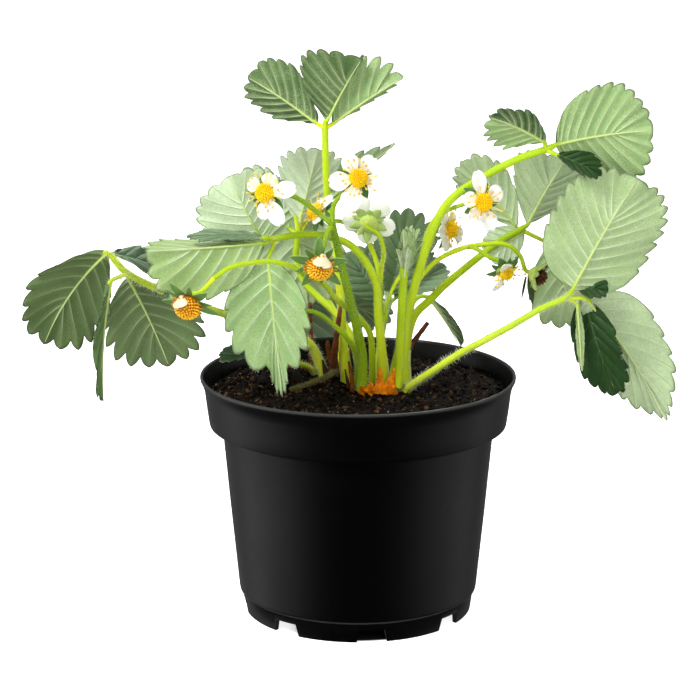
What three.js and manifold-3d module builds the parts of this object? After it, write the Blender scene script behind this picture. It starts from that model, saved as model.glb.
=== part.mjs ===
// Potted strawberry plant in flower, standing in a round black plastic pot.
// Millimetres, +Z up. The origin is on the pot's axis, at the level of its foot.
// The front of the plant is towards -Y.

import * as THREE from 'three';
import { mergeVertices } from 'three/addons/utils/BufferGeometryUtils.js';
import Module from 'manifold-3d';

const wasm = await Module();
wasm.setup();

// Driving dimensions

const GAP = 0.3;                 // air between two pieces that touch on the real plant
const WELD = 1e-4;               // points closer than this are one vertex
const BLADE_THICKNESS = 0.6;
const STEM_SIDES = 5;
const BRANCH_SIDES = 4;

const POT_HEIGHT = 100;
const POT_SEGMENTS = 32;
const RIM_RADIUS = 65;
const WALL = 1.2;
const BAND_FOOT = 79.7;          // level of the sharp lower edge of the rim band
const FOOT_EDGE = 9.2;           // level of the light edge line above the foot ring
const FLOOR_LEVEL = 9.5;         // underside of the pot's floor plate
const NOTCH_COUNT = 8;
const NOTCH_FIRST_ANGLE = -83;   // degrees from +X, the notch nearest the front
const NOTCH_WIDTH = 12.7;
const NOTCH_TOP_WIDTH = 10.2;
const NOTCH_HEIGHT = 5.3;

const SOIL_LEVEL = 93;           // at the wall
const SOIL_CROWN = 94.8;         // on the axis
const SOIL_ROUGHNESS = 0.45;
const SOIL_SEGMENTS = 24;
const CROWN_TOP = 94.9;          // the crowns end flush with the soil, in plain holes
const CROWN_DEPTH = 11;

const VEINS = 7;                 // side veins, and so teeth, on each half of a leaflet
const TOOTH_DEPTH = 0.15;        // share of a side vein's length
const PLEAT = 0.55;              // bulge of the blade between two side veins

const CALYX_TOP = -0.9;          // the green cup ends this far below the bloom's centre
const STALK_SINK = 3.2;          // the stalk enters the green cup this far below the centre

// Colours and finishes

const material = (color, roughness) => new THREE.MeshStandardMaterial({ color, roughness, metalness: 0 });
const FINISH = {
  pot: material(0x17181a, 0.55),
  soil: material(0x2a1c14, 0.95),
  leaf: material(0x86a86c, 0.65),
  darkLeaf: material(0x4c7a48, 0.6),
  stalk: material(0x9cbf35, 0.5),
  crown: material(0x6e5a2c, 0.8),
  scale: material(0xd0701c, 0.6),
  dry: material(0x7a4a28, 0.8),
  petal: material(0xf7f7f2, 0.5),
  heart: material(0xf0c21a, 0.6),
  ripeningHeart: material(0xd9921c, 0.7),
  witheredHeart: material(0x6b3f1e, 0.8),
};

// Small helpers

const radians = THREE.MathUtils.degToRad;
const mix = THREE.MathUtils.lerp;
const vector = ([x, y, z]) => new THREE.Vector3(x, y, z);
const range = (count) => Array.from({ length: count }, (_, index) => index);

// Solids: closed geometries in and out of the boolean library

function withoutSlivers(index) {
  const kept = [];
  for (let i = 0; i < index.length; i += 3) {
    const [a, b, c] = [index[i], index[i + 1], index[i + 2]];
    if (a !== b && b !== c && c !== a) kept.push(a, b, c);
  }
  return kept;
}

function weld(geometry) {
  const bare = geometry.clone();
  for (const name of Object.keys(bare.attributes)) {
    if (name !== 'position') bare.deleteAttribute(name);
  }
  const welded = mergeVertices(bare, WELD);
  welded.setIndex(withoutSlivers(welded.index.array));
  return welded;
}

function toSolid(geometry) {
  const welded = weld(geometry);
  return new wasm.Manifold(new wasm.Mesh({
    numProp: 3,
    vertProperties: new Float32Array(welded.attributes.position.array),
    triVerts: new Uint32Array(welded.index.array),
  }));
}

function toGeometry(solid) {
  const mesh = solid.getMesh();
  const geometry = new THREE.BufferGeometry();
  geometry.setAttribute('position', new THREE.BufferAttribute(new Float32Array(mesh.vertProperties), 3));
  geometry.setIndex(new THREE.BufferAttribute(new Uint32Array(mesh.triVerts), 1));
  geometry.computeVertexNormals();
  return geometry;
}

const fuse = (solids) => solids.reduce((whole, solid) => whole.add(solid));

// A solid of revolution about the Z axis, from [radius, height] pairs

function turned(profile, segments) {
  const geometry = new THREE.LatheGeometry(profile.map(([r, z]) => new THREE.Vector2(r, z)), segments);
  geometry.rotateX(Math.PI / 2);
  return geometry;
}

// A closed tube through points, with a ring at each and a radius for each share of the way.
// A flat tube has an oval section: wide is the direction of its long axis. A standing tube
// has a level foot.

function tube({ points, radius, sides = STEM_SIDES, flat = 1, wide = [1, 0.3, 0.2], standing = false }) {
  const centres = points.map(vector);
  const curve = new THREE.CatmullRomCurve3(centres, false, 'centripetal');
  const steps = points.length - 1;
  const across = vector(wide);
  const positions = [];
  for (const [i, centre] of centres.entries()) {
    const share = i / steps;
    const tangent = curve.getTangent(share);
    across.addScaledVector(tangent, -across.dot(tangent)).normalize();
    const through = new THREE.Vector3().crossVectors(tangent, across);
    for (const j of range(sides)) {
      const angle = (2 * Math.PI * (j + 0.5)) / sides;
      const point = centre.clone()
        .addScaledVector(across, radius(share) * Math.cos(angle))
        .addScaledVector(through, radius(share) * flat * Math.sin(angle));
      if (standing && i === 0) point.z = centre.z;
      positions.push(point);
    }
  }
  const index = [];
  for (const j of range(sides)) {
    const next = (j + 1) % sides;
    for (const i of range(steps)) {
      const [a, b] = [i * sides + j, i * sides + next];
      const [c, d] = [a + sides, b + sides];
      index.push(a, b, d, a, d, c);
    }
  }
  const top = steps * sides;
  for (let j = 1; j < sides - 1; j += 1) {
    index.push(0, j + 1, j);
    index.push(top, top + j, top + j + 1);
  }
  const geometry = new THREE.BufferGeometry().setFromPoints(positions);
  geometry.setIndex(index);
  return geometry;
}

const taper = (from, to) => (share) => mix(from, to, share);

// A stem is widest in the sheath at its base
const SHEATH = 0.15;
const stemRadius = ([from, to]) => (share) => mix(from, to, share) + SHEATH * from * Math.exp(-14 * share);

// A thin sheet: an open surface thickened alike to both faces, its rim closed by walls

function thicken(points, faces, thickness) {
  const surface = new THREE.BufferGeometry().setFromPoints(points);
  surface.setIndex(faces);
  const middle = weld(surface);
  middle.computeVertexNormals();
  const position = middle.attributes.position;
  const normal = middle.attributes.normal;
  const positions = [];
  for (const side of [0.5, -0.5]) {
    for (const i of range(position.count)) {
      const point = new THREE.Vector3().fromBufferAttribute(position, i);
      const offset = new THREE.Vector3().fromBufferAttribute(normal, i);
      positions.push(point.addScaledVector(offset, side * thickness));
    }
  }
  const index = [];
  const edges = new Map();
  const under = position.count;
  const source = middle.index.array;
  for (let i = 0; i < source.length; i += 3) {
    const triangle = [source[i], source[i + 1], source[i + 2]];
    index.push(...triangle);
    index.push(triangle[0] + under, triangle[2] + under, triangle[1] + under);
    for (const k of range(3)) edges.set(`${triangle[k]} ${triangle[(k + 1) % 3]}`, true);
  }
  for (const edge of edges.keys()) {
    const [a, b] = edge.split(' ').map(Number);
    if (edges.has(`${b} ${a}`)) continue;
    index.push(a, a + under, b + under, a, b + under, b);
  }
  const geometry = new THREE.BufferGeometry().setFromPoints(positions);
  geometry.setIndex(index);
  return geometry;
}

// Leaflets

// Outline of half a leaflet. Its margin runs from the base, s = 0, to the tip, s = 1.
const OUTLINE = { base: 0.9, tip: 0.5, spacing: 1.3, ribEnd: 0.85, ribPower: 1.9 };
const OUTLINE_PEAK = (OUTLINE.base / (OUTLINE.base + OUTLINE.tip)) ** OUTLINE.base
  * (OUTLINE.tip / (OUTLINE.base + OUTLINE.tip)) ** OUTLINE.tip;

function marginPoint(s) {
  const along = 1 - (1 - s ** OUTLINE.spacing) ** 2;
  const across = (along ** OUTLINE.base * (1 - along) ** OUTLINE.tip) / OUTLINE_PEAK;
  return [along, across];
}

// Teeth point where a side vein meets the margin; the wedge at the base is smooth
function toothScale(vein, veins) {
  const fromTip = Math.abs(vein - Math.round(vein));
  const notch = (2 * fromTip) ** 1.6;
  const grown = THREE.MathUtils.smoothstep(vein / veins, 0.15, 0.4);
  return 1 - TOOTH_DEPTH * grown * notch;
}

// The midrib is an arc over the chord from base to tip, and the two halves fold
// and curl from it. Share runs along the midrib, offset is the distance across.
function leafletPlacer({ base, tip, face, half, fold = [0, 0], curl = 0, arch = 20, wave = 0 }) {
  const origin = vector(base);
  const along = vector(tip).sub(origin);
  const chord = along.length();
  along.normalize();
  const up = vector(face);
  up.addScaledVector(along, -up.dot(along)).normalize();
  const across = new THREE.Vector3().crossVectors(up, along);
  const bend = radians(arch);
  const radius = chord / (2 * Math.sin(bend / 2));
  return (share, offset, vein, reach) => {
    const phi = bend * (share - 0.5);
    const side = Math.sign(offset);
    const width = Math.abs(offset) * half;
    const lean = radians(fold[side < 0 ? 0 : 1]) + radians(curl) * 0.5 * Math.abs(offset);
    const pleat = PLEAT * Math.sin(Math.PI * vein) ** 2 * Math.min(1, 4 * reach * (1.25 - reach));
    const ripple = wave * Math.sin(2.2 * vein + side) * reach * reach;
    const sideways = side * width * Math.cos(lean);
    const lift = width * Math.sin(lean) + (side === 0 ? 0 : pleat + ripple);
    const forward = radius * (Math.sin(phi) + Math.sin(bend / 2)) + lift * Math.sin(phi);
    const upward = radius * (Math.cos(phi) - Math.cos(bend / 2)) + lift * Math.cos(phi);
    return origin.clone()
      .addScaledVector(along, forward)
      .addScaledVector(across, sideways)
      .addScaledVector(up, upward);
  };
}

// One ray for each side vein and one for each notch between two teeth
function leaflet(shape) {
  const veins = shape.veins ?? VEINS;
  const place = leafletPlacer(shape);
  const reaches = shape.plain ? [0, 1] : [0, 0.55, 1];
  const rays = [0, 1];
  for (let vein = 1.5; vein <= veins; vein += 0.5) rays.push(vein);
  const points = [];
  const faces = [];
  for (const side of [-1, 1]) {
    const first = points.length;
    for (const vein of rays) {
      const [along, across] = marginPoint(vein / veins);
      const root = OUTLINE.ribEnd * along ** OUTLINE.ribPower;
      for (const reach of reaches) {
        const length = reach * toothScale(vein, veins);
        const share = mix(root, along, length);
        points.push(place(share, side * across * length, vein, reach));
      }
    }
    for (const i of range(rays.length - 1)) {
      for (const k of range(reaches.length - 1)) {
        const a = first + i * reaches.length + k;
        const [b, c, d] = [a + 1, a + reaches.length, a + reaches.length + 1];
        if (side > 0) faces.push(a, c, d, a, d, b);
        else faces.push(a, d, c, a, b, d);
      }
    }
  }
  return thicken(points, faces, BLADE_THICKNESS);
}

// Where a stalk meets a leaflet: the foot of its midrib and a point a little way into the blade
function bladeFoot(shape) {
  const place = leafletPlacer(shape);
  return [shape.base, place(0.05, 0, 0, 0).toArray()];
}

// Leaves: a hairy petiole that rises from the crown, and its leaflets.
// face is the direction in which the upper face of a leaflet looks.
// fold gives the angle to which each half rises towards the upper face.

const LEAVES = {
  leaf_far_left: {
    petiole: [[-14.4, 14.6, 95.2], [-19, 12, 108], [-25.5, 8, 113.5], [-40, 0, 121],
      [-56, -8, 127.5], [-68, -14, 133], [-78, -20, 139], [-91.5, -28, 148]],
    girth: [1.9, 1.3],
    leaflets: [
      { base: [-99, -31, 157], tip: [-126, -36, 123], face: [-0.5, 0.8, 0.3], half: 20, fold: [-4, 6],
        arch: 45, curl: -20, wave: 1, veins: 6 },
      { base: [-97.5, -35, 146.5], tip: [-100, -48, 101], face: [-1, 0.05, 0.1], half: 13, fold: [16, 16],
        arch: 24, veins: 6, plain: true },
      { base: [-91.5, -24, 145], tip: [-79.5, -10, 106], face: [0.1, 0.95, 0.3], half: 20, fold: [0, 0],
        arch: 24, curl: -10, wave: 1, veins: 6 },
    ],
  },
  leaf_left: {
    petiole: [[10.5, -6.8, 95.2], [9.6, -12.6, 112.5], [8, -18, 128.5], [7.5, -22, 141],
      [4.3, -26, 150], [0, -30, 157], [-5.6, -33, 162], [-14, -36, 165], [-22, -39, 166], [-32, -42, 165]],
    girth: [2.0, 1.4],
    leaflets: [
      { base: [-38, -46, 163.5], tip: [-83, -58, 167.5], face: [-0.2, 0.8, -0.55], half: 22, fold: [36, 76],
        arch: 12, wave: 0.8, veins: 6 },
      { base: [-37, -41, 163], tip: [-52, -45, 190], face: [-0.1, 0.95, 0.25], half: 19.5, fold: [6, 6],
        arch: -24, wave: 0.8, veins: 6 },
      { base: [-35, -43.5, 157.5], tip: [-31, -47, 104], face: [-0.5, 0.87, 0.1], half: 19.5, fold: [15, 15],
        arch: 14, wave: 1 },
    ],
  },
  leaf_top: {
    petiole: [[-4.5, 5, 95.2], [-6, 4.5, 110], [-7.5, 3, 135], [-9, 1, 151.5],
      [-11.5, -2, 166], [-12.8, -5, 180], [-13.2, -9, 203]],
    girth: [1.9, 1.3],
    leaflets: [
      { base: [-12.4, -11, 206.5], tip: [-1, -12, 234], face: [-0.55, 0.8, 0.25], half: 17.5, fold: [34, 34],
        arch: 12, wave: 0.6 },
      { base: [-16.5, -9, 205], tip: [-44.5, -6, 223], face: [0.31, 0.8, 0.5], half: 14, fold: [32, 32],
        arch: 12, wave: 0.6, veins: 6 },
      { base: [-10, -9, 205], tip: [18.5, -6, 225], face: [-0.34, 0.8, 0.5], half: 13.5, fold: [32, 32],
        arch: 12, wave: 0.6, veins: 6 },
    ],
  },
  leaf_back_left: {
    petiole: [[2, 4.8, 95.2], [-2, 11, 110.5], [-8.3, 18, 120], [-16, 23, 126.5],
      [-22.5, 27, 132.5], [-26, 29.5, 142], [-25, 30, 152]],
    girth: [1.8, 1.3],
    leaflets: [
      { base: [-24.5, 30.5, 156], tip: [-16.5, 22, 189.5], face: [-0.1, 0.95, 0.3], half: 16, fold: [12, 12],
        arch: 16, wave: 0.8, veins: 6 },
      { base: [-21, 33, 158], tip: [15.5, 28, 191], face: [-0.5, 0.8, 0.3], half: 10, fold: [40, 40],
        arch: 10, wave: 0.6, veins: 6 },
      { base: [-29, 34, 154], tip: [-52, 44, 174], face: [0.35, 0.8, 0.5], half: 15, fold: [12, 12],
        arch: 16, veins: 6, plain: true },
    ],
  },
  leaf_back: {
    petiole: [[8, 7, 95.2], [9, 14, 108], [11, 22, 117.5], [12.3, 26, 123]],
    girth: [1.6, 1.2],
    leaflets: [
      { base: [12.8, 28, 126.5], tip: [21, 25, 165], face: [0.25, -0.8, 0.45], half: 15, fold: [10, 10],
        arch: 20, wave: 0.8, veins: 6 },
      { base: [15.5, 29, 125], tip: [37, 36, 137], face: [-0.2, -0.55, 0.8], half: 12, fold: [14, 14],
        arch: 22, veins: 6, plain: true },
      { base: [9.5, 27, 124.5], tip: [-5, 25, 145], face: [0.2, -0.75, 0.55], half: 12.5, fold: [14, 14],
        arch: 16, veins: 6, plain: true },
    ],
  },
  leaf_right_high: {
    petiole: [[19.2, 1, 95.2], [18.8, -0.3, 107], [19.5, -3.5, 124], [22.6, -8, 137],
      [25, -12, 147.5], [29.5, -16, 162.5], [36.8, -21, 176.5], [51, -26, 187.5], [63, -30, 194.5],
      [73, -32.5, 198.5]],
    girth: [2.1, 1.4],
    leaflets: [
      { base: [77, -33.5, 200.5], tip: [114, -38, 208], face: [-0.1, 0.93, 0.35], half: 21, fold: [14, 14],
        arch: 22, wave: 1 },
      { base: [72.5, -33.5, 201.5], tip: [51, -37, 209.5], face: [0.25, 0.6, 0.8], half: 15.5, fold: [28, 28],
        arch: 30, curl: -24, wave: 0.8, veins: 6 },
      { base: [77.5, -29, 197], tip: [97, -12, 184.5], face: [0.45, -0.35, 0.85], half: 12, fold: [14, 14],
        arch: 30, veins: 6, plain: true },
    ],
  },
  leaf_right_middle: {
    petiole: [[19.5, 7.6, 95.2], [19.8, 8.5, 108], [23, 10, 121.5], [30, 12, 128.5], [36, 13, 134.5],
      [49.5, 15, 145.5], [58, 16, 152], [67, 17, 157]],
    girth: [1.9, 1.3],
    leaflets: [
      { base: [70, 17.5, 159], tip: [84, 8, 187], face: [-0.1, 0.9, 0.35], half: 17, fold: [18, 18],
        arch: 22, veins: 6, plain: true },
      { base: [65.5, 17.5, 157.5], tip: [38, 12, 175], face: [0.1, 0.95, 0.2], half: 18, fold: [10, 10],
        arch: 22, veins: 6, plain: true },
      { base: [76, 20, 152], tip: [84, 27, 112], face: [0.1, 0.95, 0.25], half: 16, fold: [0, 0],
        arch: 26, curl: -12, veins: 6, plain: true },
    ],
  },
  leaf_right_low: {
    petiole: [[20.2, -8.6, 95.2], [22.3, -11.6, 98.4], [29.5, -16, 104.5], [41, -20, 113.5],
      [49, -24, 119], [60.5, -28, 126.5], [72, -32, 134.5], [82, -35, 140]],
    girth: [1.9, 1.4],
    leaflets: [
      { base: [84.5, -37.5, 144], tip: [105.5, -38, 191], face: [-0.1, 0.97, 0.2], half: 25.5, fold: [8, 8],
        arch: 18, wave: 1 },
      { base: [91, -35, 138.5], tip: [124.5, -24, 87], face: [0.3, 0.9, 0.35], half: 16.5, fold: [40, 6],
        arch: 26, curl: -10, wave: 1 },
      { base: [89, -31, 137], tip: [103, -29, 97.5], face: [-0.5, -0.75, 0.2], half: 13, fold: [10, 10],
        arch: 10, wave: 1, veins: 6, plain: true },
    ],
  },
  leaf_behind_pot: {
    petiole: [[-9, 22, 95.2], [-7.5, 26, 106], [-9, 31, 115], [-12, 37, 121], [-17, 44, 124],
      [-21, 51, 123]],
    girth: [1.7, 1.3],
    leaflets: [
      { base: [-22.5, 55.5, 121], tip: [-27, 67.5, 86], face: [-0.1, 0.85, 0.4], half: 15, fold: [4, 4],
        arch: 34, veins: 6 },
      { base: [-25.5, 53, 122], tip: [-58, 60, 108], face: [-0.3, 0.4, 0.85], half: 13, fold: [6, 6],
        arch: 34, veins: 6, plain: true },
      { base: [-17.5, 55.5, 121.5], tip: [11, 65, 107], face: [0.3, 0.4, 0.85], half: 13, fold: [6, 6],
        arch: 34, veins: 6, plain: true },
    ],
  },
  leaf_at_rim: {
    petiole: [[-18.5, 17, 95.2], [-20.5, 11, 100], [-26, 2, 104], [-36, -6, 108.5]],
    girth: [1.2, 0.9],
    leaflets: [
      { base: [-39, -8, 109], tip: [-56, -13, 108], face: [-0.1, -0.3, 0.95], half: 8, fold: [20, 20],
        arch: 30, veins: 5, plain: true },
      { base: [-37.5, -9, 108.5], tip: [-44, -22, 105], face: [-0.1, -0.2, 0.95], half: 6.5, fold: [20, 20],
        arch: 30, veins: 4, plain: true },
      { base: [-37.5, -4.5, 109], tip: [-47, 8, 109], face: [-0.1, 0, 0.95], half: 6.5, fold: [20, 20],
        arch: 30, veins: 4, plain: true },
    ],
  },
  leaf_folded: {
    petiole: [[13.8, 9.3, 95.2], [16.3, 11.8, 106], [21.5, 15, 123], [25, 18, 128], [29, 19.5, 128]],
    girth: [1.1, 0.8],
    leaflets: [
      { base: [30.5, 20, 126.5], tip: [43, 24, 105.5], face: [0.8, -0.1, 0.55], half: 6.5, fold: [66, 66],
        arch: 12, veins: 5, plain: true },
    ],
  },
};

// The petiole runs on into the end leaflet, which comes first in the list
function leafSolid({ petiole, girth, leaflets }) {
  const [end, ...others] = leaflets;
  const through = [...petiole, ...bladeFoot(end)];
  const joint = (petiole.length - 1) / (through.length - 1);
  const main = stemRadius(girth);
  const radius = (share) => main(share) * mix(1, 0.55, THREE.MathUtils.smoothstep(share, joint, 1));
  const branches = others.map((shape) => tube({
    points: [petiole.at(-1), ...bladeFoot(shape)],
    radius: taper(girth[1] * 0.75, 0.6),
    sides: BRANCH_SIDES,
  }));
  const parts = [tube({ points: through, radius, standing: true }), ...leaflets.map(leaflet), ...branches];
  return fuse(parts.map(toSolid));
}

// Blooms: each has a centre, the direction it faces, and a turn about that direction

const BLOOMS = {
  bloom_1: { centre: [-35.8, -52, 184.8], facing: [-0.3, -0.93, 0.2], turn: 10, petals: 5 },
  bloom_2: { centre: [0, -46, 189.5], facing: [0.2, -0.95, 0.22], turn: 30, petals: 5 },
  bloom_3: { centre: [-16.5, -23, 171.5], facing: [-0.75, -0.3, 0.6], turn: 0, petals: 5 },
  bloom_4: { centre: [4.3, -24, 168.5], facing: [0.1, 0.95, 0.25], turn: 20, petals: 5 },
  bloom_5: { centre: [48.8, -35, 178], facing: [0.25, -0.93, 0.1], turn: 16, petals: 5 },
  bloom_6: { centre: [60, -7, 144], facing: [0.55, -0.5, -0.6], turn: 0, petals: 3 },
  bloom_7: { centre: [37.4, 9.5, 158.5], facing: [0.85, -0.5, 0.1], turn: 60, petals: 5 },
  berry_1: { centre: [-65, -66, 143], facing: [-0.1, -0.5, -0.86], turn: 0, petals: 1 },
  berry_2: { centre: [-14.8, -56, 156], facing: [0, -0.75, -0.6], turn: 0, petals: 1 },
  withered_bloom: { centre: [75.5, -3, 141], facing: [0.85, -0.2, -0.45], turn: 0, petals: 0 },
};

// Moves a solid made on the origin, facing +Z, to its bloom
function atBloom(solid, { centre, facing, turn }) {
  const up = new THREE.Vector3(0, 0, 1);
  const towards = vector(facing).normalize();
  const pose = new THREE.Matrix4().compose(
    vector(centre),
    new THREE.Quaternion().setFromUnitVectors(up, towards)
      .multiply(new THREE.Quaternion().setFromAxisAngle(up, radians(turn))),
    new THREE.Vector3(1, 1, 1),
  );
  return solid.transform(pose.elements);
}

// The petals of a bloom are one thin sheet: a round middle and a blade for each petal.
// rows gives half the width of a petal for each distance from the axis.
const PETAL_ROWS = [[2.4, 1.1], [5.4, 3.6], [8.2, 4], [10.3, 1.9]];
const PETAL_RISE = 1.2;
const PETAL_LEVEL = -0.3;

function petalsSolid({ petals }) {
  const points = [new THREE.Vector3(0, 0, PETAL_LEVEL)];
  const faces = [];
  const petalStarts = [];
  for (const petal of range(5)) {
    const angle = (2 * Math.PI * petal) / 5;
    const outward = new THREE.Vector3(Math.cos(angle), Math.sin(angle), 0);
    const sideways = new THREE.Vector3(-outward.y, outward.x, 0);
    const first = points.length;
    const rows = petal < petals ? PETAL_ROWS : PETAL_ROWS.slice(0, 1);
    for (const [i, [distance, half]] of rows.entries()) {
      const lift = PETAL_RISE * (distance / 10) ** 2;
      for (const side of [-1, 1]) {
        points.push(new THREE.Vector3(0, 0, PETAL_LEVEL + lift)
          .addScaledVector(outward, distance)
          .addScaledVector(sideways, side * half));
      }
      const a = first + 2 * i;
      if (i < rows.length - 1) faces.push(a, a + 2, a + 3, a, a + 3, a + 1);
    }
    faces.push(0, first, first + 1);
    petalStarts[petal] = first;
  }
  for (const petal of range(5)) faces.push(0, petalStarts[petal] + 1, petalStarts[(petal + 1) % 5]);
  return toSolid(thicken(points, faces, BLADE_THICKNESS));
}

// A turned solid whose outermost ring has a long point at every second corner, for the
// stamens round a heart and the sepals round a green cup
function spiked(profile, points, { ring, reach, lift }) {
  const geometry = turned(profile, 2 * points);
  const position = geometry.attributes.position;
  const rows = profile.length;
  for (const i of range(position.count)) {
    const corner = Math.floor(i / rows);
    if (i % rows !== ring || corner % 2 !== 0) continue;
    const angle = Math.atan2(position.getY(i), position.getX(i));
    position.setXYZ(i, reach * Math.cos(angle), reach * Math.sin(angle), lift);
  }
  return toSolid(geometry);
}

function heartSolid(low, { radius, height, stamens }) {
  const profile = [[0, low], [radius * 0.8, low], [radius, low + height * 0.35],
    [radius * 0.72, low + height * 0.8], [0, low + height]];
  if (stamens === 0) return toSolid(turned(profile, 8));
  return spiked(profile, stamens, { ring: 2, reach: 6.2, lift: low + 2.2 });
}

// The green cup under a bloom, with its sepals, is part of the stalk's own body
function calyxSolid({ sepals, reach, lift }) {
  const profile = [[0, -4.2], [1.3, -4], [2.6, -2.4], [3, -1.6], [2.9, CALYX_TOP], [0, CALYX_TOP]];
  return spiked(profile, sepals, { ring: 3, reach, lift });
}

// Flower trusses: a main stalk in the crown, then branches that end under a bloom

const TRUSSES = {
  truss_left: {
    stem: [[1.5, -8.6, 95.2], [1.6, -9.5, 109], [0.4, -13, 117.5], [-1.6, -19, 128.5],
      [-5.2, -30, 146], [-8.6, -40, 163], [-10.4, -43, 172]],
    girth: [2.2, 1.4],
    branches: [
      { from: [-10, -42.6, 170.5], via: [[-15.5, -44, 175.5], [-22, -47, 181], [-27, -49, 183.5]], bloom: 'bloom_1' },
      { from: [-10, -42.6, 170.5], via: [[-9.6, -43, 178], [-6.5, -42.5, 182.5]], bloom: 'bloom_2' },
      { from: [-10, -42.6, 170], via: [[-12, -46, 168], [-13.2, -49, 163.5]], bloom: 'berry_2' },
    ],
  },
  truss_far_left: {
    stem: [[5.7, -2.4, 95.2], [5.8, -2.4, 106], [5, -3, 117], [1, -7, 124.5], [-4, -14, 130.5], [-9, -24, 137],
      [-13.5, -34, 145], [-21, -46, 152], [-28, -51, 156.5], [-35.5, -54.5, 158.5], [-48, -59, 157.5],
      [-55, -61, 153.5]],
    girth: [1.3, 0.95],
    branches: [
      { from: [-55, -61, 153.5], via: [[-60, -62.5, 148.5]], bloom: 'berry_1' },
    ],
  },
  truss_middle: {
    stem: [[10.2, -0.5, 95.2], [9.8, -2.5, 113], [9, -7, 132], [8.9, -11, 141]],
    girth: [1.3, 1.1],
    branches: [
      { from: [8.9, -11, 140.5], via: [[9.3, -19, 149], [10.2, -27, 156], [8.2, -32, 164.5]], bloom: 'bloom_4' },
      { from: [8.9, -10.5, 139.5], via: [[7.5, -13, 149], [4, -12.5, 157.5], [-1, -13, 162.5], [-6, -16, 166.5]],
        bloom: 'bloom_3' },
    ],
  },
  truss_right: {
    stem: [[13.8, 2.8, 95.2], [16.2, 3.8, 107], [20.5, 5, 121.5], [24, 6, 138]],
    girth: [1.6, 1.3],
    branches: [
      { from: [23.8, 6, 137.5], via: [[26, 2, 149], [27.5, -3, 158], [31, -7, 166], [36, -14, 171], [42, -25, 175.5]],
        bloom: 'bloom_5' },
      { from: [23.8, 6, 137.5], via: [[27, 8, 146], [30.5, 12, 154]], bloom: 'bloom_7' },
      { from: [23.8, 6, 137], via: [[30.5, 5, 145], [38, 4, 150], [46, 3, 152.5], [53, -2, 149.5]], bloom: 'bloom_6' },
      { from: [38, 4, 150], via: [[46, 3.3, 152.8], [61, 2, 154], [68, 0, 150]], bloom: 'withered_bloom' },
    ],
  },
};

const CALYXES = {
  berry_1: { sepals: 8, reach: 9.5, lift: -0.5 },
  berry_2: { sepals: 8, reach: 10, lift: -1.5 },
  withered_bloom: { sepals: 6, reach: 8.5, lift: 0.5 },
};
const COMMON_CALYX = { sepals: 6, reach: 7.5, lift: -2.6 };

function trussSolid({ stem, girth, branches }) {
  const parts = [toSolid(tube({ points: stem, radius: stemRadius(girth), standing: true }))];
  for (const { from, via, bloom } of branches) {
    const { centre, facing } = BLOOMS[bloom];
    const behind = vector(facing).normalize();
    const entry = vector(centre).addScaledVector(behind, -STALK_SINK - 2.6);
    const end = vector(centre).addScaledVector(behind, -STALK_SINK);
    parts.push(toSolid(tube({
      points: [from, ...via, entry.toArray(), end.toArray()],
      radius: taper(Math.min(girth[1], 1.05), 0.8),
      sides: BRANCH_SIDES,
    })));
    parts.push(atBloom(calyxSolid(CALYXES[bloom] ?? COMMON_CALYX), BLOOMS[bloom]));
  }
  return fuse(parts);
}

// A thin stalk with a closed bud, behind the hanging leaflet on the left
const BUD_STALK = {
  stem: [[-0.8, -3, 95.2], [-0.6, -5, 108], [-4, -8, 116], [-9.5, -10, 122.5],
    [-16, -12, 128], [-22.5, -13.5, 129.5], [-28, -15.5, 127.5], [-31, -17, 123]],
  girth: [1.1, 0.8],
};
const BUD_SPIKES = [[-2, -1], [2, 1], [-0.5, 2.2], [0.5, -2.2]];

function budSolid() {
  const { stem, girth } = BUD_STALK;
  const [x, y, z] = stem.at(-1);
  const spikes = BUD_SPIKES.map(([dx, dy]) => toSolid(tube({
    points: [[x, y, z + 1.5], [x + dx, y + dy, z - 3], [x + dx * 0.7 - 1, y + dy * 0.7, z - 8]],
    radius: (share) => 1.4 * Math.sin(Math.PI * (0.2 + 0.78 * share)) + 0.2,
  })));
  return fuse([toSolid(tube({ points: stem, radius: stemRadius(girth), standing: true })), ...spikes]);
}

// The youngest leaf: a stout stem with leaflets still folded and upright
const YOUNG_LEAF = {
  stem: [[16.3, -4.4, 95.2], [16.8, -6, 106], [17.5, -8.5, 123.5], [18, -10.5, 136.5], [18.5, -11.5, 145]],
  girth: [1.9, 1.7],
  sideStem: [[17.6, -10.5, 144], [14.5, -11.5, 139.5], [11.8, -12.5, 132.5], [11, -12.5, 127]],
  blades: [
    { tip: [17.5, -13.5, 162.5], half: 3, wide: [1, 0.3, 0] },
    { tip: [21.3, -11, 161], half: 2.6, wide: [1, -0.6, 0] },
    { tip: [25, -11.5, 161.5], half: 2.4, wide: [0.7, 1, 0] },
    { tip: [14.6, -10.5, 154], half: 2.2, wide: [0.6, 1, 0] },
    { tip: [22.6, -8, 154.5], half: 2, wide: [0.7, 0.6, 0] },
  ],
};

function youngLeafSolid() {
  const { stem, girth, sideStem, blades } = YOUNG_LEAF;
  const [x, y, z] = stem.at(-1);
  const folded = blades.map(({ tip, half, wide }) => toSolid(tube({
    points: [0, 0.3, 0.62, 1].map((share) => (
      [mix(x, tip[0], share), mix(y, tip[1], share), mix(z - 1, tip[2], share)]
    )),
    radius: (share) => half * Math.sin(Math.PI * (0.12 + 0.83 * share)) + 0.25,
    sides: 6,
    flat: 0.42,
    wide,
  })));
  return fuse([
    toSolid(tube({ points: stem, radius: stemRadius(girth), standing: true })),
    toSolid(tube({ points: sideStem, radius: taper(0.9, 0.7) })),
    ...folded,
  ]);
}

// The main crown, from which the stems rise, and the withered side crown.
// Each is a short stout root stock with a flat top, half sunk in the soil.

const CROWN = { centre: [8.5, 0], radii: [18.5, 16] };
const SIDE_CROWN = { centre: [-13.5, 18.5], radii: [10.5, 9.5] };
const CROWN_SEGMENTS = 18;

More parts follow.
